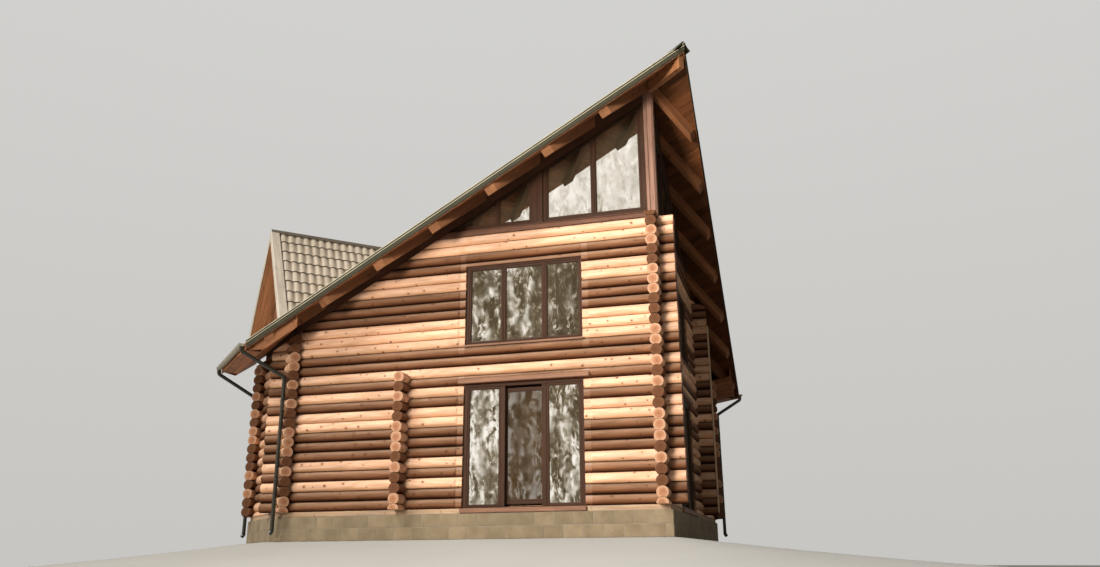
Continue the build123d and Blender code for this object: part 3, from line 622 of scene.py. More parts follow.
def tile_mat(row=0.38):
    """Faded metal tile: painted shade in the pans, a painted shadow line under every step."""
    m = Mat("metal_tile_paint")
    p = m.attr("wc", "Vector")
    u, v, n = m.xyz(p)
    flat = m.comb(u, v, 0.0)
    big = m.noise(flat, 0.8, 3.0)
    st = m.noise(m.vmath("MULTIPLY", flat, (15.0, 0.9, 0.0)), 1.0, 4.0, 0.6)
    fine = m.noise(flat, 55.0, 3.0, 0.6)
    vr = m.math("DIVIDE", v, row)
    cell = m.math("FLOOR", vr)
    f = m.math("SUBTRACT", vr, cell)
    sheet = m.node("TexWhiteNoise", {"Vector": m.comb(m.math("FLOOR", m.math("DIVIDE", u, 1.14)), m.math("FLOOR", m.math("DIVIDE", vr, 4.0)), 0.0)}).outputs["Value"]
    col = m.mix(m.rng(big, 0.3, 0.7), (0.41, 0.347, 0.27), (0.50, 0.43, 0.343))
    col = m.shade(col, m.rng(st, 0.3, 0.7, 0.80, 1.08))
    col = m.shade(col, m.rng(sheet, 0.0, 1.0, 0.95, 1.04))
    # painted shade in the hollows between the ribs
    pan_shade = m.rng(m.math("ADD", n, m.math("MULTIPLY", m.math("SUBTRACT", fine, 0.5), 0.004)), -0.037, -0.016, 1.0, 0.0, "SMOOTHSTEP")
    col = m.mix(m.math("MULTIPLY", pan_shade, 0.82), col, (0.13, 0.10, 0.065))
    # painted shadow line just below every step
    under = m.rng(m.math("ADD", f, m.math("MULTIPLY", m.math("SUBTRACT", fine, 0.5), 0.02)), 0.055, 0.115, 1.0, 0.0, "SMOOTHSTEP")
    col = m.mix(m.math("MULTIPLY", under, 0.93), col, (0.055, 0.045, 0.028))
    litter = m.rng(m.noise(m.vmath("MULTIPLY", flat, (7.0, 3.0, 0.0)), 1.0, 5.0, 0.72), 0.555, 0.62)
    litter = m.math("MULTIPLY", litter, m.rng(n, -0.036, -0.012, 1.0, 0.2))
    col = m.mix(m.math("MULTIPLY", litter, 0.7), col, (0.22, 0.115, 0.06))
    grime = m.rng(m.noise(flat, 2.4, 5.0, 0.65), 0.5, 0.7)
    col = m.mix(m.math("MULTIPLY", grime, 0.25), col, (0.12, 0.10, 0.065))
    nrm = m.bump(fine, 0.12, 0.002)
    return m.set(Base_Color=col, Roughness=m.rng(st, 0.3, 0.7, 0.36, 0.55), Normal=nrm)


TILE = tile_mat()
TRIM = painted("verge_trim_paint", (0.50, 0.44, 0.36), wear=(0.27, 0.225, 0.175), rough=0.45, dirt=0.4, coords="wc")
FLASH = painted("flashing_paint", (0.040, 0.036, 0.021), wear=(0.12, 0.105, 0.065), rough=0.5, dirt=0.35, coords="wc", spots=0.2, spec=0.12)
# light fold edges: painted highlight
FLASH_PAINTED_HIGHLIGHT = painted("flashing_painted_highlight", (0.33, 0.30, 0.21), wear=(0.20, 0.175, 0.12), rough=0.4, dirt=0.4, coords="wc", spots=0.2, spec=0.35)
# black lower lip and lower right verge: painted shade
FLASH_PAINTED_SHADE = painted("flashing_painted_shade", (0.016, 0.014, 0.011), wear=(0.07, 0.06, 0.045), rough=0.4, dirt=0.2, coords="wc", spots=0.2)
DARKMETAL = painted("dark_metal_paint", (0.115, 0.095, 0.072), wear=(0.22, 0.19, 0.15), rough=0.5, dirt=0.35, coords="wc", spec=0.25)
RAIN = painted("rainwater_paint", (0.022, 0.021, 0.014), wear=(0.10, 0.09, 0.06), rough=0.2, dirt=0.3, coords="wc", spots=0.12, spec=0.6)
GUTTER = painted("gutter_paint", (0.36, 0.32, 0.23), wear=(0.16, 0.14, 0.09), rough=0.26, dirt=0.45, coords="wc", spots=0.25)


def glass_mat(name, ior, low, high):
    m = Mat(name)
    p = m.node("TexCoord").outputs["Object"]
    # opaque pane: its nearly black colour is painted shade for the dark rooms behind, and upright-stretched noise
    # between two dark tones is a faint painted reflection
    reflection_mottle = m.noise(m.vmath("MULTIPLY", p, (1.0, 1.0, 0.35)), 2.2, 4.0, 0.6)
    col = m.mix(m.rng(reflection_mottle, 0.35, 0.7), low, high)
    wavy = m.noise(p, 0.8, 1.0)
    dust = m.noise(m.vmath("MULTIPLY", p, (5.0, 5.0, 1.2)), 1.0, 4.0, 0.65)
    ro = m.rng(dust, 0.35, 0.75, 0.0, 0.05)
    m.bsdf.inputs["IOR"].default_value = ior
    return m.set(Base_Color=col, Roughness=ro, Normal=m.bump(wavy, 0.25, 0.012))


def block_mats():
    m = Mat("concrete_block")
    p = m.attr("wc", "Vector")
    rnd = m.attr("rnd")
    p = m.vmath("ADD", p, m.comb(m.math("MULTIPLY", rnd, 13.0), rnd, rnd))
    big = m.noise(p, 3.0, 4.0)
    grain = m.noise(p, 95.0, 4.0, 0.65)
    pore = m.node("TexVoronoi", {"Vector": p, "Scale": 75.0}, feature="F1").outputs["Distance"]
    pore = m.rng(pore, 0.12, 0.3, 1.0, 0.0)
    col = m.mix(m.rng(big, 0.3, 0.7), (0.172, 0.128, 0.076), (0.245, 0.188, 0.115))
    col = m.shade(col, m.rng(grain, 0.25, 0.75, 0.78, 1.18))
    col = m.shade(col, m.rng(rnd, 0.0, 1.0, 0.84, 1.12))
    col = m.mix(m.math("MULTIPLY", pore, 0.55), col, (0.10, 0.09, 0.07))
    moss = m.rng(m.noise(p, 5.0, 5.0, 0.7), 0.56, 0.7)
    col = m.mix(m.math("MULTIPLY", moss, 0.25), col, (0.11, 0.10, 0.055))
    h = m.math("SUBTRACT", m.math("MULTIPLY", grain, 0.6), m.math("MULTIPLY", pore, 0.8))
    block_m = m.set(Base_Color=col, Roughness=m.rng(grain, 0.2, 0.8, 0.85, 0.97), Normal=m.bump(h, 0.7, 0.004))
    m = Mat("block_mortar")
    p = m.attr("wc", "Vector")
    g = m.noise(p, 130.0, 4.0, 0.7)
    col = m.mix(m.rng(m.noise(p, 4.0, 3.0), 0.3, 0.7), (0.19, 0.16, 0.12), (0.27, 0.235, 0.18))
    col = m.shade(col, m.rng(g, 0.3, 0.7, 0.8, 1.15))
    return block_m, m.set(Base_Color=col, Roughness=0.93, Normal=m.bump(g, 0.6, 0.003))


def floor_boards_mat():
    """Boards 140 mm wide with open joints, drawn along Y."""
    m = Mat("floor_board_wood")
    p = m.node("TexCoord").outputs["Object"]
    x, y, z = m.xyz(p)
    b = m.math("DIVIDE", x, 0.14)
    cell = m.math("FLOOR", b)
    f = m.math("SUBTRACT", b, cell)
    wn = m.node("TexWhiteNoise", {"W": cell}, noise_dimensions="1D").outputs["Value"]
    v = m.comb(m.math("MULTIPLY", y, 1.2), m.math("MULTIPLY", x, 40.0), m.math("ADD", m.math("MULTIPLY", z, 40.0), m.math("MULTIPLY", wn, 40.0)))
    g = m.noise(v, 1.0, 4.0, 0.6)
    col = m.mix(m.rng(g, 0.3, 0.7), (0.46, 0.28, 0.15), (0.33, 0.18, 0.09))
    col = m.shade(col, m.rng(wn, 0.0, 1.0, 0.85, 1.12))
    edge = m.rng(m.math("ABSOLUTE", m.math("SUBTRACT", f, 0.5)), 0.485, 0.497)
    col = m.mix(edge, col, (0.03, 0.02, 0.012))
    h = m.math("SUBTRACT", m.math("MULTIPLY", g, 0.3), edge)
    return m.set(Base_Color=col, Roughness=0.5, Normal=m.bump(h, 0.4, 0.003))


# pane colours: painted shade of the rooms behind the glass
GLASS = glass_mat("window_glass", 3.9, (0.030, 0.024, 0.014), (0.055, 0.043, 0.026))
LEAF_GLASS = glass_mat("leaf_glass", 1.95, (0.024, 0.014, 0.007), (0.046, 0.027, 0.013))
BLOCK, MORTAR = block_mats()
FLOORW = floor_boards_mat()


def dress(node, *mats):
    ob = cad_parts[node]
    ob.data.materials.clear()
    for mt in mats:
        ob.data.materials.append(mt)


def finish_piece(ob, body, slot, *nodes):
    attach(ob, body)
    if nodes:
        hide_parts(*nodes)
    return ob


# --------------------------------------------------------------------- logs
EVEN = "DDLDLDDDLLDLDLDDLLLDDDLLDDLL"            # courses 1 to 28
ODD = "L" + "LDDLDLLLDDLDLDLLDDDLLLDDLLD" + "D"   # half course, 1 to 27, half course
HALF_C = COURSE / 2
SEAM_W = math.sqrt(LOG_R ** 2 - HALF_C ** 2)


def log_profile():
    th0 = math.atan2(-HALF_C, SEAM_W)
    flat = math.acos(PLANE_W / LOG_R)
    ang = sorted(set(np.linspace(th0, math.pi / 2, 11).tolist() + [-flat, flat, -flat * 0.85, flat * 0.85, -flat * 0.6, flat * 0.6, -flat * 0.3, flat * 0.3, 0.0]))
    ang = [ang[0]] + [t for t0, t in zip(ang[:-1], ang[1:]) if t - t0 > 0.02]
    ang += np.linspace(math.pi / 2, math.pi - th0, 9)[1:].tolist()
    pts = [(LOG_R * math.cos(t), LOG_R * math.sin(t)) for t in ang]
    for t in np.linspace(math.pi + th0, -th0, 6)[1:-1]:
        pts.append((LOG_R * math.cos(t), -COURSE + LOG_R * math.sin(t)))
    return pts


PROFILE = log_profile()


def clip(poly, nx, nz, c):
    """Keeps the part of a section where nx*w + nz*z <= c."""
    out = []
    n = len(poly)
    for i in range(n):
        p, q = poly[i], poly[(i + 1) % n]
        dp, dq = nx * p[0] + nz * p[1] - c, nx * q[0] + nz * q[1] - c
        if dp <= 0:
            out.append(p)
        if (dp < 0 < dq) or (dq < 0 < dp):
            t = dp / (dp - dq)
            out.append((p[0] + t * (q[0] - p[0]), p[1] + t * (q[1] - p[1])))
    return out


def log_run(pile, fmap, x0, x1, poly, zc, sawn0, sawn1, wob, tone, rnd, planes, step=0.6, rim=None):
    """Stretch of one log from x0 to x1 with a constant section."""
    if len(poly) < 3:
        return
    zz = [p[1] for p in poly]
    if max(zz) - min(zz) < 0.02:
        return
    n = len(poly)
    e = 0.007
    xs = [x0 + e] if sawn0 else [x0]
    last = x1 - e if sawn1 else x1
    k = max(1, int(round((last - xs[0]) / step)))
    xs = [xs[0] + (last - xs[0]) * i / k for i in range(k + 1)]
    if rim:
        # rim: (end 0 or 1, level zone); the round runs out in a curved scribe
        t = 0.036
        if rim[0] == 1:
            xs = [x for x in xs if x < x1 - t - 0.02] + [x1 - t * f for f in (1.0, 0.8, 0.6, 0.4, 0.2, 0.0)]
        else:
            xs = [x0 + t * f for f in (0.0, 0.2, 0.4, 0.6, 0.8, 1.0)] + [x for x in xs if x > x0 + t + 0.02]
    rings = [(x, 1.0) for x in xs]
    if sawn0:
        rings = [(x0, 0.95)] + rings
    if sawn1:
        rings = rings + [(x1, 0.95)]
    poly = np.array(poly)
    verts = []
    for x, sc in rings:
        dw, dz, ds = wob(x)
        q = poly * (sc * (1 + ds))
        if rim:
            d = (x1 - x) if rim[0] == 1 else (x - x0)
            if d < 0.0361:
                lim = PLANE_W + d * (LOG_R - PLANE_W) / 0.036
                inside = (poly[:, 1] + zc > rim[1]) & (poly[:, 1] + zc < rim[2])
                q[:, 0] = np.where(inside, np.minimum(q[:, 0], lim), q[:, 0])
        verts.append(np.stack([np.full(n, x), q[:, 0] + dw, q[:, 1] + zc + dz], 1))
    verts = np.concatenate(verts)
    wc = verts - np.array([0, 0, zc])
    m = len(rings)
    faces, endf, smooth = [], [], []
    for i in range(m - 1):
        for j in range(n):
            jn = (j + 1) % n
            faces.append([i * n + j, i * n + jn, (i + 1) * n + jn, (i + 1) * n + j])
            endf.append(0.0)
            smooth.append(True)
    faces.append(list(range((m - 1) * n, m * n)))
    faces.append(list(reversed(range(n))))
    endf += [1.0, 1.0]
    smooth += [False, False]
    world = fmap(verts)
    if fmap.flip:
        faces = [list(reversed(f)) for f in faces]
    use = [pl for pl in planes if max((world - np.array(pl[0])) @ np.array(pl[1])) > 1e-5]
    if use:
        got = cut_arrays(world, faces, wc, endf, smooth, use, cap_end=0.0)
        if got is None:
            return
        world, faces, wc, endf, smooth = got
    pile.add(world, faces, wc, rnd=rnd, tone=tone, endf=endf, smooth=smooth)


def wobble(rand, amp=1.0):
    ph = [rand.uniform(0, 6.28) for _ in range(6)]
    fr = [rand.uniform(0.5, 0.9), rand.uniform(1.2, 2.0), rand.uniform(0.4, 0.8), rand.uniform(0.9, 1.5), rand.uniform(0.5, 1.1), rand.uniform(2.0, 3.1)]

    def f(x):
        dw = amp * (0.0012 * math.sin(fr[0] * x + ph[0]) + 0.0006 * math.sin(fr[1] * x + ph[1]))
        dz = amp * (0.0008 * math.sin(fr[2] * x + ph[2]) + 0.0005 * math.sin(fr[3] * x + ph[3]))
        ds = amp * (0.006 * math.sin(fr[4] * x + ph[4]) + 0.003 * math.sin(fr[5] * x + ph[5])) - 0.004 * amp
        return dw, dz, ds
    return f


def section(k, even):
    """Centre height and section of course k."""
    if even:
        return (k - 0.5) * COURSE, list(PROFILE)
    zc = k * COURSE
    poly = list(PROFILE)
    if k == 0:
        poly = clip(poly, 0, -1, 0.0)
    if k == N_COURSES:
        poly = clip(poly, 0, 1, 0.0)
    return zc, poly


def plane_flat(poly, zc, lo, hi):
    """Planes the outer side flat between two heights."""
    return [(min(w, PLANE_W), z) if lo <= z + zc <= hi else (w, z) for (w, z) in poly]


def courses(even):
    return [(k, EVEN[k - 1]) for k in range(1, N_COURSES + 1)] if even else [(k, ODD[k]) for k in range(0, N_COURSES + 1)]


def long_wall(name, fmap, even, side, seed, nodes):
    pile = Pile(seed)
    planes = [head_plane(side)]
    for k, kind in courses(even):
        zc, poly = section(k, even)
        rand = random.Random(seed * 100 + k)
        wob = wobble(rand)
        rnd = rand.random()
        tone = 1.0 if kind == "D" else 0.0
        x0 = -LOG_OUT + rand.uniform(0.0, 0.010)
        x1 = FACET + LOG_OUT - rand.uniform(0.0, 0.010)
        top, bot = zc + max(p[1] for p in poly), zc + min(p[1] for p in poly)
        # level stretches with openings
        hole = None
        for (h0, h1, f0, f1) in ((-0.01, DOOR_Z1, -0.01, DOOR_Z1 + RIM), (WIN_Z0, WIN_Z1, WIN_Z0 - 0.03, WIN_Z1 + RIM)):
            if bot < f1 and top - 0.012 > f0:
                hole = (h0, h1, f0, f1)
        if hole is None:
            log_run(pile, fmap, x0, x1, poly, zc, True, True, wob, tone, rnd, planes)
            continue
        h0, h1, f0, f1 = hole
        flat = plane_flat(poly, zc, f0, f1)
        ra, rb = WIN_A0 - RIM, WIN_A1 + RIM
        log_run(pile, fmap, x0, ra, poly, zc, True, False, wob, tone, rnd, planes, rim=(1, f0, f1))
        log_run(pile, fmap, rb, x1, poly, zc, False, True, wob, tone, rnd, planes, rim=(0, f0, f1))
        planed = tone * 0.9
        log_run(pile, fmap, ra, WIN_A0, flat, zc, False, False, wob, planed, rnd, planes)
        log_run(pile, fmap, WIN_A1, rb, flat, zc, False, False, wob, planed, rnd, planes)
        above = clip(flat, 0, -1, -(h1 - zc)) if top > h1 + 0.01 else []
        below = clip(flat, 0, 1, h0 - zc) if bot < h0 - 0.01 else []
        for part in (above, below):
            if part:
                log_run(pile, fmap, WIN_A0, WIN_A1, part, zc, False, False, wob, tone, rnd, planes)
    ob = pile.build(name, [LOG])
    return finish_piece(ob, "house", "logs", *nodes)


def chamfer_wall(name, fmap, even, side, seed, nodes):
    pile = Pile(seed)
    planes = [head_plane(side)]
    for k, kind in courses(even):
        zc, poly = section(k, even)
        if zc - HALF_C > roof_z(HALF_W - LOG_R, D_HEAD):
            continue
        rand = random.Random(seed * 100 + k)
        rnd = rand.random()
        log_run(pile, fmap, -CHAMFER / 2 - LOG_OUT + rand.uniform(0, 0.01), CHAMFER / 2 + LOG_OUT - rand.uniform(0, 0.01), poly, zc, True, True,
                wobble(rand), 1.0 if kind == "D" else 0.0, rnd, planes)
    return finish_piece(pile.build(name, [LOG]), "house", "logs", *nodes)


long_wall("front_left_logs", FL, True, -1, 11, ["front_left_wall_prow_side", "front_left_wall_eave_side", "front_left_wall_over_door"])
long_wall("front_right_logs", FR, False, 1, 12, ["front_right_wall"])
long_wall("rear_left_logs", RL, True, -1, 13, ["rear_left_wall"])
long_wall("rear_right_logs", RR, False, 1, 14, ["rear_right_wall"])
chamfer_wall("left_chamfer_logs", chamfer_map(1), False, -1, 15, ["left_chamfer_wall"])
chamfer_wall("right_chamfer_logs", chamfer_map(-1), True, 1, 16, ["right_chamfer_wall"])

# ends of the inner walls' logs
pile = Pile(17)
for fmap0, even, top, out, side in ((FL, False, 13.5 * COURSE, LOG_OUT, -1), (FR, True, 27 * COURSE, PART_OUT, 1)):
    def stub(p, fmap0=fmap0):
        p = np.asarray(p, float)
        return fmap0(np.stack([PART_A - p[..., 1], p[..., 0], p[..., 2]], -1))
    stub.flip = fmap0.flip
    for k, kind in courses(even):
        zc, poly = section(k, even)
        if zc > top + 0.01:
            continue
        if zc + HALF_C > top + 0.01:
            poly = clip(poly, 0, 1, top - zc)
        rand = random.Random(1700 + k + (40 if even else 0))
        log_run(pile, stub, 0.03, out - rand.uniform(0, 0.008), poly, zc, False, True, wobble(rand), 1.0 if kind == "D" else 0.0,
                rand.random(), [head_plane(side)])
finish_piece(pile.build("inner_wall_ends", [LOG]), "house", "logs", "inner_wall_log_ends")

# ------------------------------------------------------- posts, boards, sills
pile = Pile(21)
for my in (1, -1):
    def post_map(p, my=my):
        p = np.asarray(p, float)
        return np.stack([-S * p[..., 0] - S * p[..., 1], my * (-PROW_Y + S * p[..., 0] - S * p[..., 1]), p[..., 2] + Z0], -1)
    z_top = roof_z(0.0, D_RAFTER)
    # four corners of the post, each as high as the slope over it
    h = 0.1
    c = []
    for a in (-h, h):
        row = []
        for w in (-h, h):
            x = abs(S * (a + w))
            row.append([(a, w, WALL_TOP), (a, w, roof_z(max(x, 0.0), D_RAFTER) - 0.0)])
        c.append(row)
    hexa(pile, post_map, c, bevel=0.008, grain=2, tone=0.0)
    # cover strips on the outer faces
    for (a0, a1, w0, w1) in ((-0.078, 0.004, h, h + 0.014), (0.03, 0.086, h, h + 0.014)):
        hexa(pile, post_map, [[[(a, w, WALL_TOP + 0.02), (a, w, roof_z(S * (abs(a) + w), D_RAFTER) - 0.03)] for w in (w0, w1)] for a in (a0, a1)], bevel=0.004, grain=2)
        hexa(pile, post_map, [[[(w, a, WALL_TOP + 0.02), (w, a, roof_z(S * (abs(a) + w), D_RAFTER) - 0.03)] for a in (a0, a1)] for w in (-w0 - 0.0, -w1)], bevel=0.004, grain=2)
finish_piece(pile.build("prow_post_timbers", [POST]), "house", "stained_timber", "prow_posts")

pile = Pile(22)
for name, fm, ev in WALLS:
    # board under the gable glazing, its end cut to the slope
    t0, t1 = facet_a(WALL_TOP, D_HEAD), facet_a(GLZ_Z0, D_HEAD)
    hexa(pile, fm, [[[(0.1, w, WALL_TOP), (0.1, w, GLZ_Z0)] for w in (-0.06, 0.105)],
                    [[(t0 - w, w, WALL_TOP), (t1 - w, w, GLZ_Z0)] for w in (-0.06, 0.105)]], bevel=0.006, grain=0)
    hexa(pile, fm, [[[(0.1, w, GLZ_Z0 - 0.022), (0.1, w, GLZ_Z0 - 0.004)] for w in (0.10, 0.128)],
                    [[(t1 - 0.1, w, GLZ_Z0 - 0.022), (t1 - 0.1, w, GLZ_Z0 - 0.004)] for w in (0.10, 0.128)]], bevel=0.004, grain=0)
finish_piece(pile.build("gable_sill_boards", [STAIN]), "house", "stained_timber", "gable_sills")

pile = Pile(23)
for name, fm, ev in WALLS:
    block(pile, fm, WIN_A0 - 0.02, WIN_A1 + 0.02, 0.096, 0.15, WIN_Z0 - 0.028, WIN_Z0 + 0.012, bevel=0.006, grain=0)
    block(pile, fm, WIN_A0 + 0.001, WIN_A1 - 0.001, 0.05, 0.1, WIN_Z0 + 0.0005, WIN_Z0 + 0.012, bevel=0.003, grain=0)
    block(pile, fm, WIN_A0 - RIM, WIN_A1 + RIM, PLANE_W, PLANE_W + 0.045, DOOR_Z1 + 0.025, DOOR_Z1 + RIM - 0.005, bevel=0.014, grain=0)
    block(pile, fm, WIN_A0 - 0.02, WIN_A1 + 0.02, 0.105, 0.16, -0.092, -0.002, bevel=0.008, grain=0)
finish_piece(pile.build("opening_trim_boards", [HEADB]), "house", "opening_board", "opening_boards")

pile = Pile(24)
block(pile, FR, PART_A - 0.105, PART_A + 0.105, PART_OUT, PART_OUT + 0.025, 0.06, 23 * COURSE, bevel=0.004, grain=2)
finish_piece(pile.build("cover_board_planed", [BOARD]), "house", "cover_board", "log_end_cover_board")


# ------------------------------------------------------------------- windows
def grow(poly, d):
    """Convex polygon (anticlockwise, in a and z) with its edges moved out by d."""
    n = len(poly)
    lines = []
    for i in range(n):
        p, q = np.array(poly[i]), np.array(poly[(i + 1) % n])
        t = (q - p) / np.linalg.norm(q - p)
        nrm = np.array([t[1], -t[0]])
        lines.append((p + nrm * d, t))
    out = []
    for i in range(n):
        p, t = lines[i - 1]
        q, u = lines[i]
        k = np.linalg.solve(np.array([t, -u]).T, q - p)
        out.append(tuple(p + t * k[0]))
    return out


def ring_frame(pile, fm, inner, outer, w0, w1, bevel, mat=0):
    n = len(inner)
    for i in range(n):
        j = (i + 1) % n
        c = [[[(inner[i][0], w, inner[i][1]), (outer[i][0], w, outer[i][1])] for w in (w0, w1)],
             [[(inner[j][0], w, inner[j][1]), (outer[j][0], w, outer[j][1])] for w in (w0, w1)]]
        hexa(pile, fm, c, bevel=bevel, grain=0, mat=mat)


SASH, GAP = 0.036, 0.040


def sash(pile, fm, poly, w0, w1, glass_face):
    """Sash round one light, then a glazing bead on the glass."""
    ring_frame(pile, fm, poly, grow(poly, SASH), w0, w1, 0.004)
    ring_frame(pile, fm, grow(poly, -0.014), poly, glass_face + 0.0005, glass_face + 0.016, 0.004)


def rect(a0, a1, z0, z1):
    return [(a0, z0), (a1, z0), (a1, z1), (a0, z1)]


UP_LIGHTS = [(1.64, 2.34), (2.45, 3.26), (3.36, 4.05)]
LOW_LIGHTS = [(1.67, 2.32), (3.38, 4.04)]
WAY = (2.46, 3.25)
GL_LIGHTS = [(0.25, 1.21), (1.32, 2.30), (2.72, 3.42), (3.52, None)]


def rect_unit(pile, fm, a0, a1, z0, z1, lights, lz0, lz1, w0, w1, face, way=None):
    """Frame of a window or door unit with its lights in a row."""
    cells = sorted(lights + ([way] if way else []))
    g = GAP
    z_lo, z_hi = lz0 - (g if lz0 - g > z0 + 0.02 else 0.0), lz1 + g
    block(pile, fm, a0, a1, w0, w1, z0, z_lo, bevel=0.004, grain=0)
    block(pile, fm, a0, a1, w0, w1, z_hi, z1, bevel=0.004, grain=0)
    edges = [(a0, cells[0][0] - (0 if cells[0] == way else g))]
    for c0, c1 in zip(cells[:-1], cells[1:]):
        edges.append((c0[1] + (0 if c0 == way else g), c1[0] - (0 if c1 == way else g)))
    edges.append((cells[-1][1] + (0 if cells[-1] == way else g), a1))
    for i, (e0, e1) in enumerate(edges):
        ww0 = w0 if i in (0, len(edges) - 1) else max(w0, -0.03 if way else w0)
        block(pile, fm, e0, e1, ww0, w1, z_lo - 0.001, z_hi + 0.001, bevel=0.004, grain=2)
    for (c0, c1) in lights:
        poly = rect(c0, c1, lz0, lz1)
        ring_frame(pile, fm, poly, grow(poly, SASH), max(w0, -0.03) + 0.004, w1 - 0.007, 0.004)
        ring_frame(pile, fm, grow(poly, -0.014), poly, face + 0.0005, face + 0.014, 0.004)
    return z_lo, z_hi


def gable_unit(pile, fm):
    k = 0.040 / math.cos(math.atan(TAN * S))
    polys = []
    for (a0, a1) in GL_LIGHTS:
        drop = D_HEAD + 0.1
        if a1 is None:
            a1 = facet_a(G_BOT, drop)
            polys.append([(a0, G_BOT), (a1, G_BOT), (a0, facet_z(a0, drop))])
        else:
            polys.append([(a0, G_BOT), (a1, G_BOT), (a1, facet_z(a1, drop)), (a0, facet_z(a0, drop))])
    w0, w1 = -0.05, 0.05
    tip = facet_a(GLZ_Z0, D_HEAD)
    zb = G_BOT - GAP
    # bottom rail
    hexa(pile, fm, [[[(0.1, w, GLZ_Z0), (0.1, w, zb)] for w in (w0, w1)],
                    [[(tip - 0.05 - w, w, GLZ_Z0), (facet_a(zb, D_HEAD) - 0.05 - w, w, zb)] for w in (w0, w1)]], bevel=0.004, grain=0)
    # head rail under the beam
    def zt(a, w):
        return facet_z(a + w, D_HEAD) - 0.002
    def zl(a):
        return facet_z(a, D_HEAD + 0.1) + k
    a_hi = facet_a(zb, D_HEAD + 0.1 - k)
    hexa(pile, fm, [[[(0.1, w, zl(0.1)), (0.1, w, zt(0.1, w))] for w in (w0, w1)],
                    [[(a_hi, w, zl(a_hi)), (a_hi, w, zt(a_hi, w))] for w in (w0, w1)]], bevel=0.004, grain=0)
    cells = [(p[0][0], p[1][0]) for p in polys]
    edges = [(0.1, cells[0][0] - GAP)] + [(c0[1] + GAP, c1[0] - GAP) for c0, c1 in zip(cells[:-1], cells[1:])]
    for (e0, e1) in edges:
        hexa(pile, fm, [[[(a, w, zb - 0.001), (a, w, zl(a) + 0.001)] for w in (w0, w1)] for a in (e0, e1)], bevel=0.004, grain=2)
    for p in polys:
        ring_frame(pile, fm, p, grow(p, SASH), w0 + 0.008, w1 - 0.007, 0.004)
        ring_frame(pile, fm, grow(p, -0.014), p, 0.0125, 0.026, 0.004)
    # post that stands proud, with a small foot
    hexa(pile, fm, [[[(a, w, GLZ_Z0 + 0.002), (a, w, facet_z(a + w, D_HEAD) - 0.004)] for w in (w1 - 0.001, 0.085)] for a in (2.41, 2.55)], bevel=0.006, grain=2)
    block(pile, fm, 2.39, 2.57, w1 - 0.001, 0.1, GLZ_Z0 + 0.001, GLZ_Z0 + 0.06, bevel=0.006, grain=0)


for key, fm, ev in WALLS:
    pile = Pile(31 + len(key))
    gable_unit(pile, fm)
    if key == "front_left":
        finish_piece(pile.build("front_left_gable_glazing_frame", [FRAME]), "house", "window_frame", "front_left_gable_frame")
        pile = Pile(33)
    rect_unit(pile, fm, WIN_A0, WIN_A1, WIN_Z0 + 0.0125, WIN_Z1, UP_LIGHTS, WIN_Z0 + 0.095, WIN_Z1 - 0.09, -0.04, 0.05, 0.012)
    # drip bar over the sill
    block(pile, fm, WIN_A0 + 0.01, WIN_A1 - 0.01, 0.0495, 0.068, WIN_Z0 + 0.02, WIN_Z0 + 0.045, bevel=0.005, grain=0)
    if key == "front_left":
        finish_piece(pile.build("front_left_window_frame", [FRAME]), "house", "window_frame", "front_left_upper_window_frame")
        pile = Pile(34)
        rect_unit(pile, fm, WIN_A0, WIN_A1, 0.001, DOOR_Z1, LOW_LIGHTS, 0.062, DOOR_Z1 - 0.1, -0.11, 0.05, 0.022, way=WAY)
        # rails that the leaf runs behind
        block(pile, fm, WIN_A0 + 0.11, WIN_A1 - 0.12, -0.106, -0.102, 0.058, 0.075, bevel=0.001, grain=0)
        finish_piece(pile.build("terrace_frame", [FRAME]), "house", "window_frame", "terrace_door_frame")
        leaf = Pile(35)
        A0, A1, ZA, ZB, W0, W1 = 2.40, 3.31, 0.068, DOOR_Z1 - 0.096, -0.095, -0.040
        h0, h1, g0, g1 = A0 + 0.075, A1 - 0.075, ZA + 0.08, ZB - 0.075
        block(leaf, fm, A0, h0, W0, W1, ZA, ZB, bevel=0.004, grain=2)
        block(leaf, fm, h1, A1, W0, W1, ZA, ZB, bevel=0.004, grain=2)
        block(leaf, fm, h0 - 0.001, h1 + 0.001, W0 + 0.001, W1 - 0.001, ZA, g0, bevel=0.004, grain=0)
        block(leaf, fm, h0 - 0.001, h1 + 0.001, W0 + 0.001, W1 - 0.001, g1, ZB, bevel=0.004, grain=0)
        poly = rect(h0, h1, g0, g1)
        ring_frame(leaf, fm, grow(poly, -0.014), poly, -0.0545, -0.043, 0.003)
        ring_frame(leaf, fm, grow(poly, -0.014), poly, -0.092, -0.0805, 0.003)
        finish_piece(leaf.build("terrace_leaf_frame", [FRAME]), "door_leaf", "window_frame", "terrace_door_leaf")
    else:
        rect_unit(pile, fm, WIN_A0, WIN_A1, 0.001, DOOR_Z1, LOW_LIGHTS + [WAY], 0.062, DOOR_Z1 - 0.1, -0.04, 0.05, 0.012)
        if key == "front_right":
            finish_piece(pile.build("front_right_frames", [FRAME]), "house", "window_frame", "front_right_window_frames")
        elif key == "rear_left":
            finish_piece(pile.build("rear_left_frames", [FRAME]), "house", "window_frame", "rear_window_frames")
        else:
            finish_piece(pile.build("rear_right_frames", [FRAME]), "house", "window_frame", "rear_window_frames")

for node in ("front_left_glass", "front_right_glass", "rear_glass"):
    dress(node, GLASS)
dress("terrace_door_leaf_glass", LEAF_GLASS)

